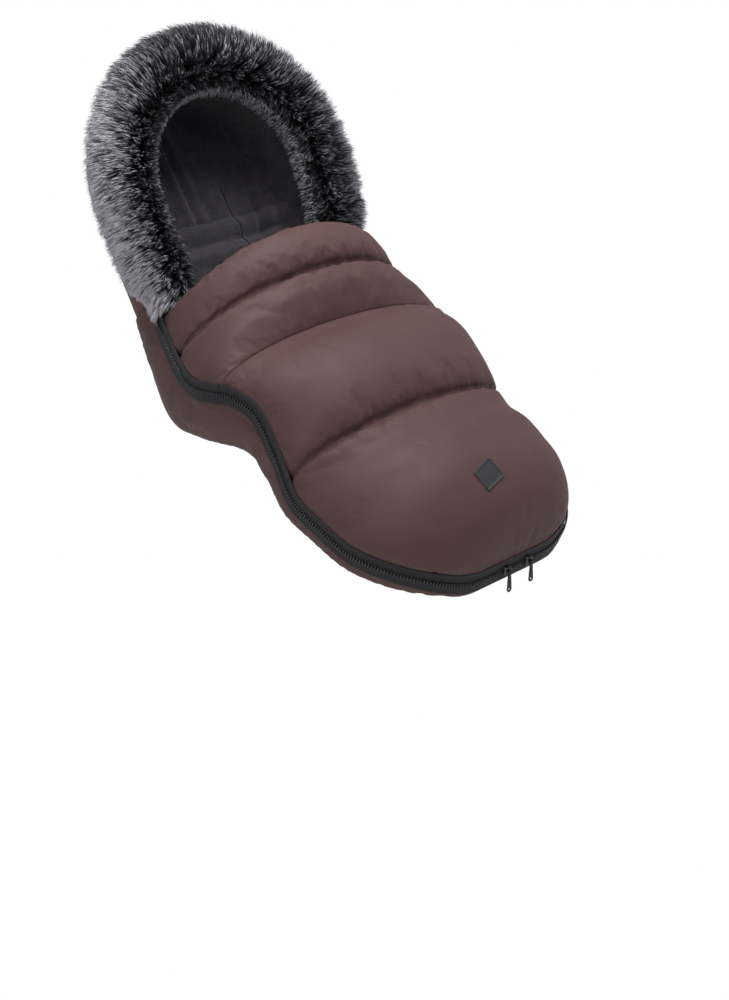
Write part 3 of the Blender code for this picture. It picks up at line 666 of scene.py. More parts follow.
def near_back(grid, middle, size, margin):
    """1 inside a box on the hood's back and 0 past a margin round it."""
    from_middle = grid - np.array(middle)
    flat_place = np.stack((from_middle[..., 0], from_middle @ np.array(back_up)), -1)
    share = near_box(flat_place, (0, 0), size, margin)
    return share * (np.abs(from_middle @ np.array(back_out)) < BACK_REACH)


hood_rows = even_steps(lambda along: hood_sheet(along, math.pi / 2), SPLIT_GAP / 2, RIM_LENGTH, HOOD_CELL)
hood_rows = hood_rows[:, None]
hood_turns = even_steps(lambda turn: hood_sheet(np.array(MID_RIM), turn), 0, math.pi, HOOD_CELL)
hood_turns = ((hood_turns + math.pi - hood_turns[::-1]) / 2)[None, :]
hood = hood_sheet(hood_rows, hood_turns)
sewn = np.zeros(hood.shape[:2])
sewn[[0, -1, -2, -3]] = sewn[:, [0, 1, -2, -1]] = 1
flat = near_back(hood, back_point(BACK_PATCH_SHARE), BACK_PATCH, SLOT_MARGIN)
shoulder_slots = []
for sign in (-1, 1):
    middle = back_point(SHOULDER_SLOT_SHARE) + Vector((sign * SHOULDER_SLOT_SIDE, 0, 0))
    shoulder_slots.append(middle)
    flat = np.maximum(flat, near_back(hood, middle, SHOULDER_SLOT, SLOT_MARGIN))
sewn = np.where(flat > 0.5, 1, sewn)
sewn[:, hood_turns.size // 2] = 1
for share in HOOD_SEAM_SHARES:
    sewn[:, round(share * hood_turns.size)] = 1
loose = blown(hood, sewn, WADDING_PRESSURE, WADDING_SLACK, WADDING_CAP, -1)
hood = finer(hood + (loose - hood) * (1 - flat)[..., None])
fine_rows = stretched(hood_rows[:, 0], hood.shape[0])[:, None]
fine_turns = stretched(hood_turns[0], hood.shape[1])[None, :]
hood_in = hood_sheet(fine_rows * (RIM_LENGTH - SHELL_WALL) / RIM_LENGTH, fine_turns, SHELL_WALL)
ring = ((hood + hood_in) / 2).reshape(-1, 3)[edge_of(*hood.shape[:2], False)]
ahead = np.zeros(3)
ahead[1:] = rim_at(np.array([MID_RIM]))[1][0]
ring += RIM_ROLL * ahead
ring[hood.shape[0] - 1:hood.shape[0] - 2 + hood.shape[1]] -= RIM_ROLL * ahead
mesh = quilt("hood_shell", hood, [ring], hood_in, False)
hood_shell = piece("hood_shell_quilted", mesh, nylon, "bag", "brown_nylon", "hood_shell")
SHOULDER_HOLES = [
    (tuple(middle - back_out * SHOULDER_CUT_IN), *SHOULDER_SLOT, back_axes, SHOULDER_CUT_DEPTH)
    for middle in shoulder_slots
]
pierced(hood_shell, SHOULDER_HOLES)


# Cover.  Two quilted panels over the child: a flap over the chest that folds down, and
# the long panel over lap, shins and feet.  Stitching through the wadding makes channels.
COVER_WALL = 0.020
NECK_DROP = 0.036
QUILT_DIP = 0.010
QUILT_SPREAD = 0.010
QUILT_GROOVE = 0.0065
QUILT_GROOVE_WIDTH = 0.0034
GATHER_HEIGHT = 0.0018
GATHER_REACH = 0.014
DART_DEPTH = 0.0022
COVER_ROUGH = 0.0005
COVER_PRESSURE = 5.0
COVER_CAP = 0.010
CELL = 0.005


def cover_sheet(along, turn, inset=0.0, band=0.0):
    """The cover's cloth: half an ellipse over the seam past a flat band, with a valley
    along each quilting line, its depth falling off as the exponential of the distance."""
    seam, up, half, (crown, _), end = seam_at(along, inset)
    for line in (CHEST_LINE, FOLD_LINE, SHIN_LINE):
        valley = QUILT_DIP * np.exp(-np.abs(along - line) / QUILT_SPREAD)
        crown = crown - valley * max(0, 1 - inset / COVER_WALL)
    return oval(seam, up, half, (crown - band) * end, turn, 2.0, SEAM_GAP / 2 + band)


def cover_middle(along):
    """The cover's middle line."""
    return cover_sheet(along, math.pi / 2, 0, EDGE_BAND)


cover_turns = even_steps(lambda turn: cover_sheet(0.3, turn, 0, EDGE_BAND), 0, math.pi, CELL)[None, :]
fold_edge = FOLD_LINE - SPLIT_GAP / 2
neck = NECK_DROP * np.cos(cover_turns) ** 2
chest_steps = np.linspace(0, 1, round(CHEST_LINE / CELL) + 1)[:, None]
waist_steps = even_steps(cover_middle, CHEST_LINE, fold_edge, CELL)[1:, None]
flap_rows = np.concatenate((neck + (CHEST_LINE - neck) * chest_steps,
                            np.broadcast_to(waist_steps, (len(waist_steps), neck.size))))
chest_row = len(chest_steps) - 1
lap_steps = even_steps(cover_middle, FOLD_LINE + SPLIT_GAP / 2, SHIN_LINE, CELL)
toe_steps = even_steps(cover_middle, SHIN_LINE, SEAM_LENGTH, CELL)
foot_rows = np.concatenate((lap_steps, toe_steps[1:]))[:, None]
shin_row = len(lap_steps) - 1


def cover_panel(name, rows, lines, top_bulge, slack, seed, body, calm, darts=()):
    """A quilted panel: its cloth is blown up between the sewn lines and gathered along
    them, and is closed underneath over a tucked edge.  Calm gives the share of its swell
    at each place, and a dart is a groove between two places of the fine grid."""
    grid = cover_sheet(rows, cover_turns, 0, EDGE_BAND)
    chance = np.random.default_rng(seed)
    rough = finer(finer(chance.uniform(-1, 1, (grid.shape[0] // 4 + 2, grid.shape[1] // 4 + 2, 1))))
    start = grid + facing(grid, -1) * COVER_ROUGH * rough[:grid.shape[0], :grid.shape[1]]
    held = np.zeros(grid.shape[:2])
    held[list(lines)] = held[:, [0, -1]] = held[[0, -1]] = 1
    start = np.where(held[..., None] > 0, grid, start)
    loose = blown(start, held, COVER_PRESSURE, slack, COVER_CAP, -1)
    grid = finer(grid + (loose - grid) * calm(grid)[..., None])
    wide = np.broadcast_to(rows, (len(rows), cover_turns.size))
    fine_rows = finer(wide[..., None])[..., 0]
    fine_turns = finer(np.repeat(cover_turns, 3, 0)[..., None])[:1, :, 0]
    gap = np.full(grid.shape[:2], 1.0)
    for line in (0, *lines):
        gap = np.minimum(gap, np.abs(fine_rows - fine_rows[2 * line]))
    groove = np.minimum.reduce([np.abs(fine_rows - fine_rows[2 * line]) for line in lines])
    grid = grid + facing(grid) * (QUILT_GROOVE * np.exp(-groove / QUILT_GROOVE_WIDTH))[..., None]
    grid = gathered(grid, gap, GATHER_HEIGHT, GATHER_REACH, seed + 20, -1)
    for start, stop in darts:
        first, reach = grid[start], grid[stop] - grid[start]
        share = np.clip((grid - first) @ reach / (reach @ reach), 0, 1)
        gap = np.linalg.norm(grid - first - share[..., None] * reach, axis=-1)
        depth = DART_DEPTH * (1 - 0.6 * share) * np.exp(-gap / DART_DEPTH)
        grid = grid + facing(grid) * depth[..., None]
    to_foot = rows[-1].max() == SEAM_LENGTH
    inner_rows = tucked(fine_rows, COVER_WALL) if to_foot else fine_rows
    inner = cover_sheet(inner_rows, fine_turns, COVER_WALL)
    ups = np.zeros(grid.shape)
    ups[..., 1:] = seam_at(fine_rows)[1]
    ring = grid - ups * EDGE_BAND
    for end in [0] if to_foot else [0, -1]:
        ring[end] = (grid[end] + inner[end]) / 2
    headward = grid[0] - grid[1]
    headward /= np.linalg.norm(headward, axis=-1, keepdims=True)
    ring[0] += top_bulge * headward
    edge = edge_of(*grid.shape[:2])
    mesh = quilt(name, grid, [ring.reshape(-1, 3)[edge]], inner)
    made = piece(f"{name}_quilted", mesh, nylon, body, "brown_nylon", name)
    return grid


FOLD_HINGE = (-0.0623, 0.1640)  # y and z of the hinge's axis
FOLD_REACH = 0.045
NECK_BULGE = 0.006
FLAP_SLACK = 0.012
FOOT_SLACK = 0.010


def near_fold(grid):
    """1 away from the fold, falling to three fifths beside it, so that the two bands have
    room when the flap is folded down."""
    far = np.hypot(grid[..., 1] - FOLD_HINGE[0], grid[..., 2] - FOLD_HINGE[1])
    return 1 - 0.4 * np.exp(-(far / FOLD_REACH) ** 2)


flap_grid = cover_panel("flap_cover", flap_rows, (chest_row,), NECK_BULGE, FLAP_SLACK, 21, "flap", near_fold)
LABEL_PLACE = np.array((-0.015, -0.332355, 0.026417))
LABEL_REACH = 0.030
FOOT_DARTS = (((-27, 0), (-35, 28)), ((-27, -1), (-35, -29)))


def under_label(grid):
    """The share near the fold, falling to a fifth under the label, which holds the cloth."""
    far = np.linalg.norm(grid - LABEL_PLACE, axis=-1)
    return near_fold(grid) - 0.8 * np.exp(-(far / LABEL_REACH) ** 2)


foot_grid = cover_panel("foot_cover", foot_rows, (shin_row,), 0.0, FOOT_SLACK, 31, "bag", under_label,
                        FOOT_DARTS)


# Linings.  Soft charcoal plush on the inner side of every panel.  On the hood and at the
# neck it is sewn over thicker wadding, which makes soft rolls behind and beside the head.
PLY_GAP = 0.0018
LINING_WALL = 0.008
TURN_IN = 0.005
LINING_OUT = SHELL_WALL + PLY_GAP
LINING_IN = LINING_OUT + LINING_WALL
LINING_SWELL = 0.0010
LINING_CELL = 0.006
# Each roll or crease is (place, width, height), and a crease's height is below zero.
NAPE_ROLLS = ((0.017, 0.011, 0.010), (0.035, 0.004, -0.003))
NECK_ROLLS = ((0.095, 0.013, 0.009), (0.062, 0.013, 0.010), (0.112, 0.003, -0.003), (0.079, 0.003, -0.003))
SEAM_ROLLS = ((0.012, 0.008, 0.003), (-0.011, 0.008, 0.003), (0.0, 0.0035, -0.0035))
SEAM_ROLLS_ABOVE = 0.112
SIDE_ROLLS = ((0.085, 0.012, 0.007), (0.105, 0.004, -0.003))
SIDE_ROLLS_REACH = ((0.10, 0.06, 1.0),)
TOP_FADE_FROM = 0.24
TOP_FADE = 0.05
SLIT_WIDTH = 0.003


def plush_pile():
    """Node group for short plush: pile 1.3 mm apart, brushed into lighter and darker
    patches.  Place is in metres on the cloth."""
    made, given = cloth_group("plush_pile", ("Shade", "Height"))
    place = given["Place"]
    hairs = noise(made, place, 640.0, 3.0, 0.7)
    tufts = noise(made, place, 210.0)
    lay = mapped(made, noise(made, place, 34.0, 3.0, 0.6, 1.2), 0.0, 0.55, 0.38, 0.68)
    share = maths(made, "MULTIPLY_ADD", maths(made, "MULTIPLY", hairs, tufts), 1.1, lay)
    put(made, "NodeGroupOutput", {
        "Shade": blended(made, share, given["Dark shade"], given["Light shade"]),
        "Height": maths(made, "MULTIPLY_ADD", tufts, 0.8, hairs),
    })
    return made


plush = fabric("charcoal_plush", plush_pile(), (0.014, 0.012, 0.016), (0.066, 0.056, 0.073),
               (0.8, 0.0016), (0.02, 0.018, 0.022), 0.95, Sheen_Weight=0.35, Sheen_Roughness=0.5)


def rolls(at, table):
    """Rolls and creases side by side, each (place, width, height): the height times the
    exponential of minus the distance over the width squared."""
    return sum(height * np.exp(-((at - place) / width) ** 2) for place, width, height in table)


def middle_of(turns):
    """1 round the middle of the back and 0 at the sides."""
    return np.clip(np.sin(turns) * 1.6 - 0.3, 0, 1)


def lining(name, outer, inner, whole=True):
    """A closed lining of two grids, its pile side lifted in small random swells."""
    chance = np.random.default_rng(len(name) * 7)
    rows, columns = inner.shape[:2]
    swell = finer(finer(finer(chance.uniform(-1, 1, (rows // 8 + 3, columns // 8 + 3, 1)))))
    lift = LINING_SWELL * swell[:rows, :columns]
    lift[[0, -1]] = lift[:, [0, -1]] = 0
    inner = inner + facing(inner) * lift
    ring = ((outer + inner) / 2).reshape(-1, 3)[edge_of(rows, columns, whole)]
    mesh = quilt(name, outer, [ring], inner, whole)
    body = "flap" if name.startswith("flap") else "bag"
    made = piece(f"{name}_plush", mesh, plush, body, "charcoal_plush", name)
    return made


deep_rows = even_steps(
    lambda along: under_sheet(along, math.pi / 2), SPLIT_GAP / 2, SEAM_LENGTH, LINING_CELL
)[:, None]
deep_turns = even_steps(lambda turn: under_sheet(FOLD_LINE, turn), 0, math.pi, HOOD_CELL)[None, :]
outer = under_sheet(tucked(deep_rows, LINING_OUT), deep_turns, LINING_OUT)
inner = under_sheet(tucked(deep_rows, LINING_IN), deep_turns, LINING_IN)
roll = rolls(deep_rows, NAPE_ROLLS) * middle_of(deep_turns)
inner = inner - facing(inner) * roll[..., None]
back_lining = lining("back_lining", outer, inner)
pierced(back_lining, SEAT_HOLES)

rim_rows = even_steps(lambda along: hood_sheet(along, math.pi / 2), 0, RIM_LENGTH, LINING_CELL)
rim_turns = even_steps(lambda turn: hood_sheet(np.array(MID_RIM), turn), 0, math.pi, LINING_CELL)
rim_turns = (rim_turns + math.pi - rim_turns[::-1]) / 2
rim_rows, rim_turns = (stretched(steps, 2 * steps.size - 1) for steps in (rim_rows, rim_turns))
rim_rows = SPLIT_GAP / 2 + rim_rows[:, None] * (RIM_LENGTH - SPLIT_GAP / 2) / RIM_LENGTH
rim_turns = rim_turns[None, :]
outer = hood_sheet(rim_rows * (RIM_LENGTH - LINING_OUT) / RIM_LENGTH, rim_turns, LINING_OUT)
inner = hood_sheet(rim_rows * (RIM_LENGTH - LINING_IN) / RIM_LENGTH, rim_turns, LINING_IN)
lift = rolls(rim_rows, NECK_ROLLS) * middle_of(rim_turns)
seam_run = run_along(inner, 1)
lift = lift + rolls(seam_run, SEAM_ROLLS) * (rim_rows > SEAM_ROLLS_ABOVE)
lift = lift + rolls(seam_run[:, -1:] - seam_run, SIDE_ROLLS) * rolls(rim_rows, SIDE_ROLLS_REACH)
lift = lift * (1 - np.clip((rim_rows - TOP_FADE_FROM) / TOP_FADE, 0, 1))
inner = inner + facing(inner) * lift[..., None]
hood_lining = lining("hood_lining", outer, inner, False)
# The pile closes over the shoulder slots and leaves a slit in each.
pierced(hood_lining, [(place, SLIT_WIDTH, *hole) for place, _, *hole in SHOULDER_HOLES])

COVER_LINING_OUT = COVER_WALL + PLY_GAP
COVER_LINING_IN = COVER_LINING_OUT + LINING_WALL
chest = neck + TURN_IN + (CHEST_LINE - neck - TURN_IN) * chest_steps
lined_rows = np.concatenate((chest, flap_rows[len(chest_steps):]))
lining("flap_lining", *(cover_sheet(lined_rows, cover_turns, inset)
                        for inset in (COVER_LINING_OUT, COVER_LINING_IN)))
lining("foot_lining", *(cover_sheet(tucked(foot_rows, inset), cover_turns, inset)
                        for inset in (COVER_LINING_OUT, COVER_LINING_IN)))


# Zip.  A black moulded zip joins cover and shell.  Each tape is woven and sewn down in one
# row of stitches, and the teeth of its two halves lock into each other four millimetres apart.
ZIP_TOP = 0.032
TAPE_NEAR = 0.0004
TAPE_WALL = 0.0012
TAPE_WIDTH = 0.0125
TOOTH_PITCH = 0.0040
TOOTH_WALL = 0.0024
STITCH = 0.0030
STITCH_LINE = 0.0105


def unit(vectors):
    """The same directions at length 1."""
    return vectors / np.linalg.norm(vectors, axis=-1, keepdims=True)


def at_runs(steps, run, table):
    """Rows of a table at distances between its own rows' distances."""
    return np.stack([np.interp(steps, run, column) for column in table.T], -1)


def tube(rings, sides):
    """Quads between neighbouring rings of points that are numbered ring by ring."""
    start = np.arange(rings - 1)[:, None] * sides
    near, far = np.arange(sides), (np.arange(sides) + 1) % sides
    faces = np.stack((start + near, start + far, start + sides + far, start + sides + near), -1)
    return faces.reshape(-1, 4)


def zip_line(first, last=None, sign=0, pitch=0.003, shift=0.0):
    """The zip's line at an even pitch: down the left side from a first distance, straight
    across the foot and up the right side, or one side of it.  Gives points, directions
    along, up and out."""
    last = SEAM_LENGTH if last is None else last
    along = even_steps(lambda a: np.column_stack((seam_at(a)[2], seam_at(a)[0])), first, last, 0.002)
    seam, up, half = seam_at(along)[:3]
    sides = [np.column_stack((side * half, seam, np.zeros(len(half)), up)) for side in (-1, 1)]
    line = np.vstack((sides[0], sides[1][::-1])) if sign == 0 else sides[sign > 0][::-sign]
    run = run_of(line[:, :3])
    steps = np.linspace(0, run[-1], round(run[-1] / pitch) + 1)
    if shift:
        steps = steps[:-1] + shift * (steps[1] - steps[0])
    line = at_runs(steps, run, line)
    points, ups = line[:, :3], line[:, 3:]
    ahead = unit(np.gradient(points, axis=0))
    out = unit(np.cross(ahead, ups))
    return points, ahead, np.cross(out, ahead), out


def carried(name, line, profile):
    """A closed mesh of a profile of (out, up) distances carried along a line."""
    points, _, ups, outs = line
    profile = np.array(profile)
    rings = points[:, None] + profile[:, 0, None] * outs[:, None] + profile[:, 1, None] * ups[:, None]
    sides = len(profile)
    uv = np.stack(np.broadcast_arrays(run_of(points)[:, None], profile[:, 1]), -1).reshape(-1, 2)
    first = np.arange(sides)
    faces = np.vstack((tube(len(points), sides), first[::-1], first + (len(points) - 1) * sides))
    return outward(mesh_of(name, rings.reshape(-1, 3), faces, uv))


def outward(mesh, sharp=35):
    """The mesh with its faces turned out and its edges sharp past an angle."""
    bm = bmesh.new()
    bm.from_mesh(mesh)
    if bm.calc_volume(signed=True) < 0:
        bmesh.ops.reverse_faces(bm, faces=bm.faces)
    bm.to_mesh(mesh)
    bm.free()
    mesh.shade_smooth()
    mesh.set_sharp_from_angle(angle=math.radians(sharp))
    return mesh


def many(name, shape, faces, line):
    """Copies of one small closed shape, in (along, up, out) distances, at every point of a
    line."""
    points, ahead, ups, outs = line
    shape = np.array(shape)
    all_points = (points[:, None] + shape[:, 0, None] * ahead[:, None]
                  + shape[:, 1, None] * ups[:, None] + shape[:, 2, None] * outs[:, None])
    faces = np.array(faces)
    all_faces = faces + (np.arange(len(points)) * len(shape))[:, None, None]
    uv = np.stack((all_points[..., 0], all_points[..., 2]), -1).reshape(-1, 2)
    return outward(mesh_of(name, all_points.reshape(-1, 3), all_faces.reshape(-1, faces.shape[1]), uv))


tape_cloth, tape_tree, tape_shader = surface("black_zip_tape", (0.011, 0.011, 0.013), 0.75,
                                             Sheen_Weight=0.1)
tape_spot = put(tape_tree, "ShaderNodeUVMap", uv_map="weave").outputs[0]
ribs = put(tape_tree, "ShaderNodeTexWave", {"Vector": tape_spot, "Scale": 240.0, "Distortion": 0.6},
           bands_direction="DIAGONAL").outputs["Fac"]
feed(tape_tree, tape_shader, Normal=relief(tape_tree, ribs, 0.5, 0.0004),
     Base_Color=blended(tape_tree, ribs, (0.007, 0.007, 0.008, 1), (0.019, 0.018, 0.021, 1)))


def speckled(name, colour, roughness, scale, detail, dark, light):
    """A plain finish in small specks of two shades.  Gives (material, tree, shader, specks)."""
    made, tree, shader = surface(name, colour, roughness)
    specks = noise(tree, put(tree, "ShaderNodeTexCoord").outputs["Object"], scale, detail)
    feed(tree, shader, Base_Color=blended(tree, specks, (*dark, 1), (*light, 1)))
    return made, tree, shader, specks


teeth_plastic, teeth_tree, teeth_shader, teeth_specks = speckled(
    "black_zip_teeth", (0.022, 0.022, 0.026), 0.32, 900.0, 2.0, (0.018, 0.018, 0.021), (0.034, 0.034, 0.039)
)
feed(teeth_tree, teeth_shader, Roughness=mapped(teeth_tree, teeth_specks, 0.25, 0.42))
thread = speckled("brown_thread", (0.075, 0.045, 0.042), 0.6, 1500.0, 1.0, (0.050, 0.030, 0.028),
                  (0.100, 0.062, 0.058))[0]

TAPE_FAR = TAPE_NEAR + TAPE_WALL
TAPE_LIP = 0.0003
low, high = SEAM_GAP / 2, SEAM_GAP / 2 + TAPE_WIDTH
above = ((TAPE_NEAR, low), (TAPE_FAR, low), (TAPE_FAR, high - TAPE_LIP), (TAPE_NEAR, high))
below = [(out, -up) for out, up in above]
TOOTH_NEAR = TAPE_FAR + 0.0004
TOOTH_FAR = TOOTH_NEAR + TOOTH_WALL
outline = np.array(((-0.00075, -0.0014), (0.00075, -0.0014), (0.00135, -0.0004), (0.00080, 0.0009),
                    (0.00115, 0.0030), (-0.00115, 0.0030), (-0.00080, 0.0009), (-0.00135, -0.0004)))
tooth = [(x, y, TOOTH_NEAR) for x, y in outline]
tooth += [(0.78 * x, 0.82 * (y - 0.0008) + 0.0008, TOOTH_FAR) for x, y in outline]
knob_faces = [*tube(2, 8), (7, 2, 1, 0), (6, 3, 2, 7), (5, 4, 3, 6)]
knob_faces += [(8, 9, 10, 15), (15, 10, 11, 14), (14, 11, 12, 13)]
lower_tooth = [(-x, -y, out) for x, y, out in tooth]
stitch = [(-STITCH * 0.42, 0, 0), (0, 0.00022, 0), (0, 0, 0.00028), (0, -0.00022, 0),
          (0, 0, -0.0002), (STITCH * 0.42, 0, 0)]
stitch_faces = [(0, 1, 2), (0, 2, 3), (0, 3, 4), (0, 4, 1), (5, 2, 1), (5, 3, 2), (5, 4, 3), (5, 1, 4)]


def stitched(name, line, up, out, body):
    """A row of stitches sewn along a zip line at a height and a distance out."""
    points, ahead, ups, outs = line
    lifted = (points + ups * up + outs * out, ahead, ups, outs)
    return piece(name, many(name, stitch, stitch_faces, lifted), thread, body, "black_zip_tape")


# Name, first and last distance, side, tape, tooth, body, shift in pitches, and way out.
halves = (
    ("shell_zip", ZIP_TOP, None, 0, below, lower_tooth, "bag", 0.5, -1),
    ("foot_zip", FOLD_LINE + SPLIT_GAP / 2, None, 0, above, tooth, "bag", 0.0, 1),
    ("flap_zip_left", ZIP_TOP, fold_edge, -1, above, tooth, "flap", 0.0, 1),
    ("flap_zip_right", ZIP_TOP, fold_edge, 1, above, tooth, "flap", 0.0, 1),
)
for name, first, last, sign, profile, shape, body, shift, way in halves:
    side = name.removeprefix("flap_zip") if name.startswith("flap") else ""
    node = name.removesuffix(side) if side else name
    mesh = carried(f"{name}_tape", zip_line(first, last, sign, 0.003), profile)
    piece(f"{name}_woven_tape", mesh, tape_cloth, body, "black_zip_tape", f"{node}_tape{side}")
    teeth_line = zip_line(first, last, sign, TOOTH_PITCH, 0.25 + shift)
    mesh = many(f"{name}_teeth", shape, knob_faces, teeth_line)
    piece(f"{name}_moulded_teeth", mesh, teeth_plastic, body, "black_zip_teeth", f"{node}_teeth{side}")
    stitch_line = zip_line(first, last, sign, STITCH, 0.5)
    stitched(f"{name}_stitches", stitch_line, way * STITCH_LINE, TAPE_FAR, body)


# Quilting.  A lockstitch in brown thread runs along the chest line and the shin line of the
# cover, through both layers of nylon and the wadding between them.
QUILT_STITCH = 0.0036


def sewn_line(grid, row, pitch):
    """Places for stitches along one row of a grid of cloth, at an even pitch.  Gives
    points, directions along, up the cloth and out of it."""
    line = np.stack((grid[row], facing(grid, -1)[row]), 1)[2:-2]
    run = run_of(line[:, 0])
    line = at_runs(np.arange(pitch / 2, run[-1], pitch), run, line.reshape(len(line), 6))
    points, out = line[:, :3], unit(line[:, 3:])
    ahead = unit(np.gradient(points, axis=0))
    return points, ahead, np.cross(out, ahead), out


long_stitch = [(along * QUILT_STITCH / STITCH, up, out) for along, up, out in stitch]
for name, grid, row, body in (("chest", flap_grid, 2 * chest_row, "flap"),
                              ("shin", foot_grid, 2 * shin_row, "bag")):
    mesh = many(f"{name}_quilting", long_stitch, stitch_faces, sewn_line(grid, row, QUILT_STITCH))
    piece(f"{name}_quilting_stitches", mesh, thread, body, "brown_nylon")


# Fur trim.  Long artificial fur round the hood's rim, sewn over a soft roll.  Its hairs are
# black at the root and pale at the tip, grow in tufts, and are combed outwards from a
# parting near the opening, where a line of short pale hairs edges the seam.
FUR_INWARD = 0.048
FUR_OUTWARD = 0.042
FUR_THICKNESS = 0.052
FUR_STAND = 0.0010
FUR_TAIL = 0.012
FUR_END_SHARE = 0.74
FUR_TAPER = 0.050
FUR_EASE = 0.13
END_FORWARD = 0.006
END_INWARD = 0.020
FUR_CORE = 0.56
FUR_MARGIN = 0.004
PARTING = 2.35
HAIR_ROOT = 0.00046
HAIR_SHARES = (0.0, 0.42, 0.80, 1.0)
HAIR_WIDTHS = (0.8, 1.0, 0.9)

along = RIM_LENGTH - (RIM_LENGTH + FUR_TAIL) * np.linspace(1, 0, 500) ** 2
rim, forward, half, _ = rim_at(along)
seam, up, seam_half = seam_at(np.abs(along))[:3]
below = along < 0
rim[below], forward[below], half[below] = seam[below], up[below], seam_half[below]
size = FUR_END_SHARE + (1 - FUR_END_SHARE) * np.sin(
    np.clip((along + FUR_TAIL) / FUR_TAPER, 0, 1) * math.pi / 2
)
fur_line = np.column_stack((half, rim, np.zeros(len(half)), forward, size))
fur_line = np.vstack((fur_line, (fur_line * (-1, 1, 1, 1, 1, 1, 1))[-2::-1]))
run = run_of(fur_line[:, :3])
FUR_LENGTH = run[-1]
fur_run = np.linspace(0, FUR_LENGTH, 600)
fur_line = at_runs(fur_run, run, fur_line)
ahead = unit(np.gradient(fur_line[:, :3], axis=0))
out = unit(np.cross(ahead, fur_line[:, 3:6]))
ease = np.clip(1 - np.minimum(fur_run, FUR_LENGTH - fur_run) / FUR_EASE, 0, 1)[:, None] ** 2
fur_line[:, :3] += (END_FORWARD * fur_line[:, 3:6] - END_INWARD * out) * ease
fur_line = np.column_stack((fur_line, out, ahead))


def on_fur(run, turn, share):
    """A point of the trim at a distance along the rim and a turn round its profile, from
    its outer edge at 0 to its inner edge at pi: out is the middle plus half the width
    times the cosine, forward is the depth times the sine to the power 0.8."""
    at = at_runs(run, fur_run, fur_line)
    middle, wide = (FUR_OUTWARD - FUR_INWARD) / 2, (FUR_OUTWARD + FUR_INWARD) / 2
    rise = np.sin(turn)
    rise = np.where(rise > 0, np.abs(rise) ** 0.8, 0.3 * rise)
    size = at[..., 6:7]
    sideways = (middle + wide * share * np.cos(turn))[..., None] * size
    upward = (FUR_STAND + (FUR_THICKNESS - FUR_STAND) * share * rise)[..., None] * size
    past = (run - np.clip(run, 0, FUR_LENGTH))[..., None]
    return at[..., :3] + at[..., 7:10] * sideways + at[..., 3:6] * upward + at[..., 10:] * past


fur, fur_tree, fur_shader = surface("grey_tipped_fur", (0.05, 0.05, 0.055), 0.6, Specular_IOR_Level=0.25)
HAIR_VALUES = ("root_to_tip", "paleness")
hair_tone = maths(fur_tree, "MULTIPLY", *(
    put(fur_tree, "ShaderNodeAttribute", attribute_name=label).outputs["Fac"] for label in HAIR_VALUES
))
hair_shade = put(fur_tree, "ShaderNodeValToRGB", {"Fac": hair_tone})
ramp = hair_shade.color_ramp.elements
ramp[0].color, ramp[1].color = (0.010, 0.009, 0.011, 1), (0.85, 0.82, 0.88, 1)
for spot, shade in ((0.38, (0.018, 0.016, 0.020, 1)), (0.54, (0.12, 0.116, 0.130, 1)),
                    (0.74, (0.56, 0.54, 0.59, 1))):
    ramp.new(spot).color = shade
feed(fur_tree, fur_shader, Base_Color=hair_shade.outputs["Color"])

core_run = np.linspace(FUR_MARGIN, FUR_LENGTH - FUR_MARGIN, 200)[:, None]
core_turn = np.linspace(0, 2 * math.pi, 25)[None, :-1]
blunt_ends = np.clip(1 - (np.abs(core_run / FUR_LENGTH - 0.5) * 2) ** 40, 0.01, 1)
core_share = FUR_CORE * np.sqrt(blunt_ends)
core = on_fur(*np.broadcast_arrays(core_run, core_turn, core_share))
sides = core.shape[1]
tips = np.stack((core[0].mean(0), core[-1].mean(0)))
mesh = mesh_of("fur_roll", np.vstack((core.reshape(-1, 3), tips)), tube(len(core), sides))
bm = bmesh.new()
bm.from_mesh(mesh)
bm.verts.ensure_lookup_table()
count = len(core) * sides
for first, tip in ((0, count), (count - sides, count + 1)):
    for k in range(sides):
        bm.faces.new([bm.verts[first + k], bm.verts[first + (k + 1) % sides], bm.verts[tip]])
bmesh.ops.recalc_face_normals(bm, faces=bm.faces)
bm.to_mesh(mesh)
bm.free()
mesh = outward(mesh)
for name in HAIR_VALUES:
    mesh.attributes.new(name, "FLOAT", "POINT")
fur_roll = piece("fur_trim_roll", mesh, fur, "bag", "grey_tipped_fur", "fur_trim")


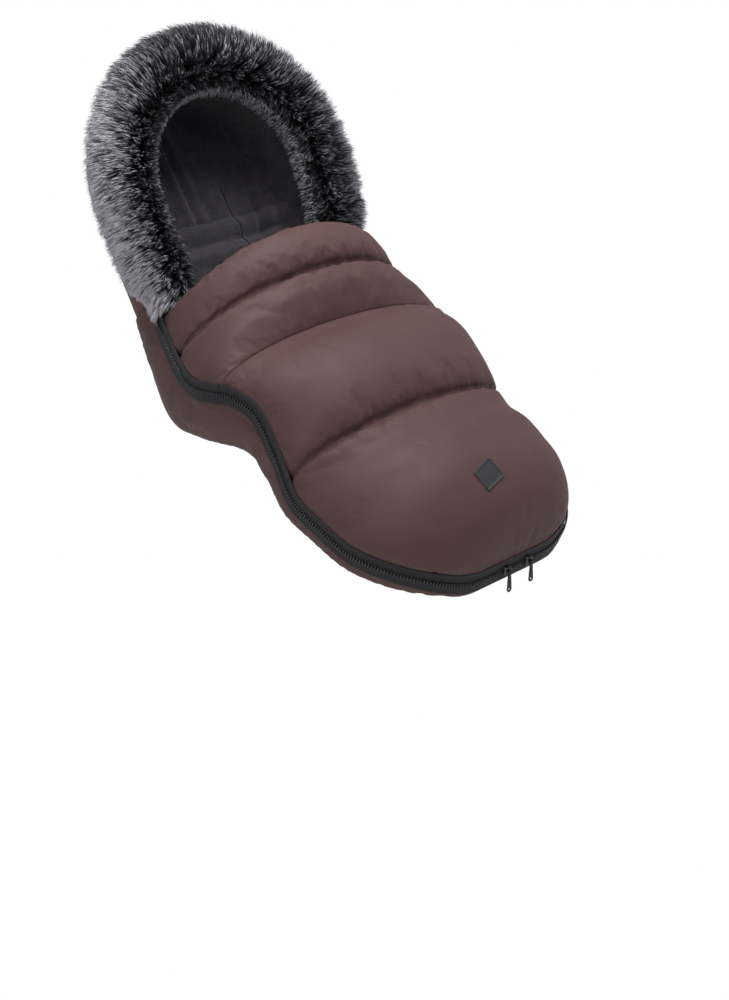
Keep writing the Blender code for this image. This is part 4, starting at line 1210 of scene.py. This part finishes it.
def hairs(name, roots, knees, tips, thick, pale):
    """Hairs of three sides, each bent on a parabola: at a share u of its length it is
    (1 - u)^2 root + 2 u (1 - u) knee + u^2 tip.  It thins to a point past its last width."""
    u = np.array(HAIR_SHARES)[None, :, None]
    middle = (1 - u) ** 2 * roots[:, None] + 2 * u * (1 - u) * knees[:, None] + u ** 2 * tips[:, None]
    ahead = unit(tips - roots)
    side = unit(np.cross(ahead, (0.31, 0.52, 0.79)))
    other = np.cross(ahead, side)
    turn = np.array((0, 2, 4)) * math.pi / 3
    ring = np.cos(turn)[:, None] * side[:, None] + np.sin(turn)[:, None] * other[:, None]
    width = np.array(HAIR_WIDTHS)[None, :, None, None] * thick[:, None, None, None]
    points = middle[:, :3, None] + ring[:, None] * width
    points = np.concatenate((points.reshape(len(roots), 9, 3), middle[:, 3:]), 1)
    band = tube(2, 3)
    faces = [(a, b, c) for a, b, c, _ in band] + [(a, c, d) for a, _, c, d in band]
    faces += [tuple(3 + v for v in face) for face in faces]
    faces += [(6, 7, 9), (7, 8, 9), (8, 6, 9), (2, 1, 0)]
    faces = np.array(faces)[None] + (np.arange(len(roots)) * 10)[:, None, None]
    mesh = mesh_of(name, points.reshape(-1, 3), faces.reshape(-1, 3))
    values = np.broadcast_to(np.repeat(HAIR_SHARES, (3, 3, 3, 1)), (len(roots), 10))
    for label, data in zip(HAIR_VALUES, (values, np.repeat(pale[:, None], 10, 1))):
        layer = mesh.attributes.new(label, "FLOAT", "POINT")
        layer.data.foreach_set("value", data.ravel().astype(np.float32))
    return piece(name, mesh, fur, "bag", "grey_tipped_fur")


TUFTS = 6000
HAIRS_IN_TUFT = 8
HEM_HAIRS = 2600
COMBED_OUT = 0.62
COMBED_IN = 0.22
DROOP = 0.007
FAN = 0.022
FAN_REACH = 0.05
LOW_REACH = 0.12
INNER_LENGTH = 1.04
LOW_LONGER = 0.16
OUTER_LENGTH = 1.14
PALENESS = 0.58
# The outer side is paler, partly for the pale tips that show there and partly as painted light; the top of
# the rim gets painted shade.
OUTER_TIPS_AND_PAINTED_LIGHT = 0.54
TOP_PAINTED_SHADE = 0.08
quarters = ("right_low", "right_top", "left_top", "left_low")
for number, quarter in enumerate(quarters):
    chance = np.random.default_rng(70 + number)
    count = TUFTS // 4
    tuft_run = (number + chance.uniform(0, 1, count)) * FUR_LENGTH / 4
    tuft_turn = chance.uniform(-0.75, math.pi + 0.05, count)
    to_end = np.minimum(tuft_run, FUR_LENGTH - tuft_run)
    way = np.where(tuft_run < FUR_LENGTH / 2, -1, 1)
    from_parting = np.clip((PARTING - tuft_turn) / 0.6, 0, 1)
    sweep = COMBED_OUT * from_parting - COMBED_IN * (tuft_turn > PARTING) + chance.normal(0, 0.10, count)
    droop = DROOP * np.sin(math.pi * (tuft_run / FUR_LENGTH - 0.5))
    droop = droop + way * FAN * np.clip(1 - to_end / FAN_REACH, 0, 1) ** 2 + chance.normal(0, 0.003, count)
    low = np.clip(1 - to_end / LOW_REACH, 0, 1)
    long = np.where(tuft_turn > PARTING, INNER_LENGTH + LOW_LONGER * low, OUTER_LENGTH)
    long = long * chance.uniform(0.93, 1.05, count)
    # Painted light and shade in each tuft's paleness: the outer side is paler, partly for its pale tips and
    # partly as painted light. The top of the rim is darker as painted shade, and the outer paleness fades
    # there too.
    outer = np.clip((1.9 - tuft_turn) / 1.2, 0, 1)
    high = np.clip(1.4 - np.abs(tuft_run / FUR_LENGTH - 0.5) / 0.17, 0, 1)
    light = PALENESS + OUTER_TIPS_AND_PAINTED_LIGHT * outer * (1 - 0.9 * high) - TOP_PAINTED_SHADE * high
    light = light + chance.uniform(-0.15, 0.15, count)
    shape = (count, HAIRS_IN_TUFT)
    tuft_run, tuft_turn, droop, sweep, long, light = (
        values[:, None] for values in (tuft_run, tuft_turn, droop, sweep, long, light)
    )
    run_off, turn_off = chance.normal(0, 0.0036, shape), chance.normal(0, 0.075, shape)
    roots_run = np.clip(tuft_run + run_off, FUR_MARGIN, FUR_LENGTH - FUR_MARGIN).ravel()
    roots_turn = (tuft_turn + turn_off).ravel()
    tips_run = (tuft_run + droop + 0.55 * run_off + chance.normal(0, 0.0008, shape)).ravel()
    tips_turn = (tuft_turn - sweep + 0.55 * turn_off + chance.normal(0, 0.02, shape)).ravel()
    tips_turn = np.clip(tips_turn, -1.1, math.pi + 0.2)
    tips_share = (long * chance.uniform(0.84, 1.03, shape)).ravel()
    roots = on_fur(roots_run, roots_turn, FUR_CORE * 0.96)
    knees = on_fur(0.6 * roots_run + 0.4 * tips_run, 0.72 * roots_turn + 0.28 * tips_turn,
                   FUR_CORE + 0.78 * (tips_share - FUR_CORE))
    tips = on_fur(tips_run, tips_turn, tips_share)
    pale = np.clip(light + chance.uniform(-0.24, 0.24, shape), 0, 1.15).ravel()
    thick = HAIR_ROOT * chance.uniform(0.7, 1.2, pale.size)
    hairs(f"fur_hair_{quarter}", roots, knees, tips, thick, pale)

chance = np.random.default_rng(80)
count = HEM_HAIRS
hem_run = chance.uniform(0.01, FUR_LENGTH - 0.01, count)
hem_turn = chance.uniform(2.75, 3.12, count)
roots = on_fur(hem_run, hem_turn, 0.84)
tip_run = hem_run + chance.normal(0, 0.0022, count)
tips = on_fur(tip_run, hem_turn + chance.normal(0.05, 0.08, count), chance.uniform(1.02, 1.14, count))
knees = on_fur(hem_run, hem_turn - 0.10, chance.uniform(0.93, 1.04, count))
hairs("fur_hair_hem", roots, knees, tips, HAIR_ROOT * chance.uniform(0.6, 0.9, count),
      chance.uniform(0.75, 1.1, count))


# Label.  A soft dark rubber patch on the foot with a raised rim, sewn down along its edge.
# It is left bare.
LABEL_SIZE = (0.036, 0.030)
LABEL_CORNER = 0.003
LABEL_FACE = 0.0011
LABEL_STITCHES = 48
LABEL_STITCH_INSET = 0.0033
LABEL_RIGHT = np.array((0.99852, -0.01453, 0.05234))
LABEL_UP = np.array((-0.03226, 0.61663, 0.7866))
LABEL_OUT = np.array((-0.04371, -0.78712, 0.61525))


def rounded(size, corner, inset, count=40):
    """Outline of a rectangle with round corners, drawn in by an inset: corner centres plus
    the corner's radius less the inset along the turn."""
    turn = (np.arange(count) + 0.5) * 2 * math.pi / count
    way = np.stack((np.cos(turn), np.sin(turn)), -1)
    radius = max(corner, inset + 0.0004)
    return np.sign(way) * (np.array(size) / 2 - radius) + (radius - inset) * way


def ringed(name, outlines, heights, place):
    """A closed mesh of rings: each outline (across, up) at a height, joined to the next
    and closed at both ends, after a place function puts it in space."""
    rings = np.stack([place(ring[:, 0], ring[:, 1], height) for ring, height in zip(outlines, heights)])
    count = rings.shape[1]
    flat = np.concatenate(outlines)
    mesh = mesh_of(name, rings.reshape(-1, 3), tube(len(rings), count), flat)
    bm = bmesh.new()
    bm.from_mesh(mesh)
    bm.verts.ensure_lookup_table()
    map_layer = bm.loops.layers.uv["weave"]
    for first in (0, (len(rings) - 1) * count):
        made = bm.faces.new([bm.verts[first + k] for k in range(count)])
        for loop in made.loops:
            loop[map_layer].uv = flat[loop.vert.index]
    bmesh.ops.recalc_face_normals(bm, faces=bm.faces)
    bm.to_mesh(mesh)
    bm.free()
    return outward(mesh, 50)


near_label = foot_grid[np.linalg.norm(foot_grid - LABEL_PLACE, axis=-1) < LABEL_REACH]
from_label = near_label - LABEL_PLACE
across, upward, height = (from_label @ way for way in (LABEL_RIGHT, LABEL_UP, LABEL_OUT))


def bowl(across, upward):
    """The six terms of a curved surface: 1, a, b, a squared, a times b, b squared."""
    return np.stack((np.ones_like(across), across, upward, across ** 2, across * upward, upward ** 2), -1)


bend = np.linalg.lstsq(bowl(across, upward), height, rcond=None)[0]


def on_label(across, upward, lift):
    """A place over the cloth under the label."""
    rise = bowl(across, upward) @ bend + lift
    return (LABEL_PLACE + across[:, None] * LABEL_RIGHT + upward[:, None] * LABEL_UP
            + rise[:, None] * LABEL_OUT)


LABEL_TURN = math.radians(14)
tilt = np.array(((math.cos(LABEL_TURN), math.sin(LABEL_TURN)),
                 (-math.sin(LABEL_TURN), math.cos(LABEL_TURN))))
label_steps = ((0, -0.0004), (0, 0.0010), (0.0003, 0.0015), (0.0009, 0.0018), (0.0015, 0.0018),
               (0.0020, 0.0014), *((inset, LABEL_FACE) for inset in (0.0024, 0.0050, 0.0085, 0.0120, 0.0145)))
label_rings = [rounded(LABEL_SIZE, LABEL_CORNER, inset) @ tilt for inset, _ in label_steps]
rubber, rubber_tree, rubber_shader, rubber_specks = speckled(
    "grey_rubber", (0.034, 0.034, 0.040), 0.5, 700.0, 3.0, (0.026, 0.026, 0.031), (0.044, 0.044, 0.051)
)
feed(rubber_tree, rubber_shader, Normal=relief(rubber_tree, rubber_specks, 0.3, 0.0003))
mesh = ringed("label", label_rings, [rise for _, rise in label_steps], on_label)
piece("rubber_label", mesh, rubber, "bag", "grey_rubber_label", "label_patch")
rim_ring = rounded(LABEL_SIZE, LABEL_CORNER, LABEL_STITCH_INSET, 400) @ tilt
loop_run = run_of(rim_ring)
rim_ring = at_runs(np.linspace(0, loop_run[-1], LABEL_STITCHES + 1)[:-1], loop_run, rim_ring)
points = on_label(rim_ring[:, 0], rim_ring[:, 1], LABEL_FACE)
ahead = unit(np.roll(points, -1, 0) - np.roll(points, 1, 0))
outs = np.broadcast_to(LABEL_OUT, points.shape)
mesh = many("label_stitches", [(0.7 * along, up, out) for along, up, out in stitch], stitch_faces,
            (points, ahead, np.cross(outs, ahead), outs))
label_thread = speckled("grey_thread", (0.10, 0.10, 0.11), 0.6, 1500.0, 2.0, (0.070, 0.070, 0.078),
                        (0.140, 0.140, 0.150))[0]
piece("rubber_label_stitches", mesh, label_thread, "bag", "grey_rubber_label")


# Grip patches.  Black fabric with rows of small rubber dots, sewn under the seat and behind
# the back, so that the bag doesn't slide on what it lies on.
PATCH_WALL = 0.0018
PATCH_CORNER = 0.012
PATCH_STAND = 0.0004
PATCH_FACE = 0.0013
DOT_PITCH = 0.0075
DOT_RADIUS = 0.0016
DOT_MARGIN = 0.0065
grip = woven("black_grip_fabric", (0.018, 0.018, 0.019), (0.011, 0.011, 0.012), 0.05, 0.0008)
back_middle = np.array(back_point(BACK_PATCH_SHARE) + back_out * (PATCH_STAND + PATCH_WALL))
patches = (
    ("seat_grip_patch", SEAT_PATCH, np.zeros(3), (1, 0, 0), (0, -1, 0), (0, 0, -1)),
    ("back_grip_patch", BACK_PATCH, back_middle, (-1, 0, 0), tuple(back_up), tuple(back_out)),
)
patch_steps = ((0, 0.0), (0, 0.0010), (0.0004, 0.0014), (0.0012, 0.0014), (0.0020, 0.0010),
               (0.0030, PATCH_FACE), (0.0060, PATCH_FACE))
turn = np.arange(8) * math.pi / 4
dot = [(DOT_RADIUS * math.cos(t), DOT_RADIUS * math.sin(t), -0.0003) for t in turn]
dot += [(0.75 * x, 0.75 * y, 0.0005) for x, y, _ in dot[:8]]
for name, size, middle, right, up, normal in patches:
    right, up, normal = (np.array(way, float) for way in (right, up, normal))
    origin = middle - normal * PATCH_WALL

    def on_patch(across, upward, lift):
        """A place on the flat patch, by distances across, up and out of it."""
        return origin + across[:, None] * right + upward[:, None] * up + lift * normal

    rings = [rounded(size, PATCH_CORNER, inset) for inset, _ in patch_steps]
    mesh = ringed(name, rings, [rise for _, rise in patch_steps], on_patch)
    piece(f"{name}_cloth", mesh, grip, "bag", "black_grip_fabric", name)
    columns, rows = (int((length - 0.012) / DOT_PITCH) for length in size)
    spots = np.stack(np.meshgrid(np.arange(columns + 1) - columns / 2, np.arange(rows + 1) - rows / 2), -1)
    spots[1::2, :, 0] += 0.5
    spots = spots.reshape(-1, 2) * DOT_PITCH
    inside = np.abs(spots) < np.array(size) / 2 - DOT_MARGIN
    spots = spots[inside.all(axis=1)]
    points = on_patch(spots[:, 0], spots[:, 1], PATCH_FACE)
    axes = [np.broadcast_to(way, points.shape) for way in (right, up, normal)]
    mesh = many(f"{name}_dots", dot, knob_faces, (points, *axes))
    piece(f"{name}_dots", mesh, rubber, "bag", "black_grip_fabric")


# Harness slots.  A stiff woven tape is rolled over both faces of each slot and sewn down, so
# that a harness can pass.  At the shoulders it binds the shell alone, under the lining's pile.
BINDING_PROUD = 0.0010
SLOT_CORNER = 0.005
binding = woven("brown_binding", (0.030, 0.026, 0.030), (0.020, 0.017, 0.020), 0.05, 0.0012)
bound = []
for name, (x, y, across, down) in zip(("crotch", "hip_left", "hip_right"), (CROTCH_SLOT, *HIP_SLOTS)):
    low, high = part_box(f"slot_binding_{name}")
    bound.append((name, (across, down), (low + high) / 2, (high - low).z, (1, 0, 0), (0, 1, 0), (0, 0, 1)))
shoulder_depth = SHELL_WALL + BINDING_PROUD
shoulder_in = back_out * (shoulder_depth / 2 - BINDING_PROUD)
for name, middle in zip(("shoulder_left", "shoulder_right"), shoulder_slots):
    bound.append((name, SHOULDER_SLOT, middle - shoulder_in, shoulder_depth, (-1, 0, 0), back_up, back_out))
for name, size, middle, depth, right, up, normal in bound:
    middle, right, up, normal = (np.array(way, float) for way in (middle, right, up, normal))
    top = depth / 2
    loop = [(-0.0019, 0.0), (-0.0019, 0.6 * top), (-0.0018, top - 0.0006), (-0.0012, top + 0.0002),
            (0.0, top + 0.0005), (0.0012, top + 0.0002), (0.0018, top - 0.0006), (0.0012, top - 0.0014),
            (0.0, top - 0.0016), (-0.0003, 0.6 * top), (-0.0003, 0.0)]
    loop += [(out, -rise) for out, rise in loop[-2:0:-1]]
    outlines = [rounded(size, SLOT_CORNER, -out) for out, _ in loop]
    rings = np.stack([
        middle + ring[:, :1] * right + ring[:, 1:] * up + rise * normal
        for ring, (_, rise) in zip(outlines, loop)
    ])
    faces = tube(len(loop) + 1, rings.shape[1]) % (rings.size // 3)
    around = 0.0018 * np.arange(len(loop))[:, None]
    uv = np.stack(np.broadcast_arrays(run_of(outlines[0]), around), -1).reshape(-1, 2)
    mesh = outward(mesh_of(f"binding_{name}", rings.reshape(-1, 3), faces, uv), 60)
    piece(f"slot_binding_{name}_tape", mesh, binding, "bag", "brown_binding", f"slot_binding_{name}")


# Sliders, pulls and stops.  Cast metal with a black lacquer.  The sliders straddle the teeth,
# and each pull's rolled knuckle turns on the slider's bar; its edges carry a painted
# highlight mixed with scuffed wear.
SLIDER_PLACES = (-0.013, 0.028)
PULL_HALF = 0.0040
lacquer, lacquer_tree, lacquer_shader = surface("black_lacquered_metal", (0.02, 0.02, 0.022), 0.28, 0.6)
lacquer_spot = put(lacquer_tree, "ShaderNodeTexCoord").outputs["Object"]
across = put(lacquer_tree, "ShaderNodeSeparateXYZ", {0: lacquer_spot}).outputs["X"]
gaps = [
    maths(lacquer_tree, "ABSOLUTE", maths(lacquer_tree, "SUBTRACT", across, x)) for x in SLIDER_PLACES
]
nearer = maths(lacquer_tree, "MINIMUM", *gaps)
scuffs = noise(lacquer_tree, lacquer_spot, 1100.0, 3.0)
# Painted highlight mixed with wear: the lacquer turns lighter towards the pulls' side edges and past them,
# broken up by the scuffs.
edge_highlight = mapped(lacquer_tree, nearer, 0.0, 0.8, PULL_HALF - 0.0009, PULL_HALF - 0.0003)
highlight_and_wear = maths(lacquer_tree, "MULTIPLY", edge_highlight, scuffs)
feed(lacquer_tree, lacquer_shader, Roughness=mapped(lacquer_tree, scuffs, 0.20, 0.38),
     Base_Color=blended(lacquer_tree, highlight_and_wear, (0.020, 0.020, 0.022, 1), (0.30, 0.30, 0.32, 1)))
for name in ("zip_slider", "zip_pull", "zip_stop"):
    for side in ("left", "right"):
        nodes[f"{name}_{side}"].material_slots[0].material = lacquer
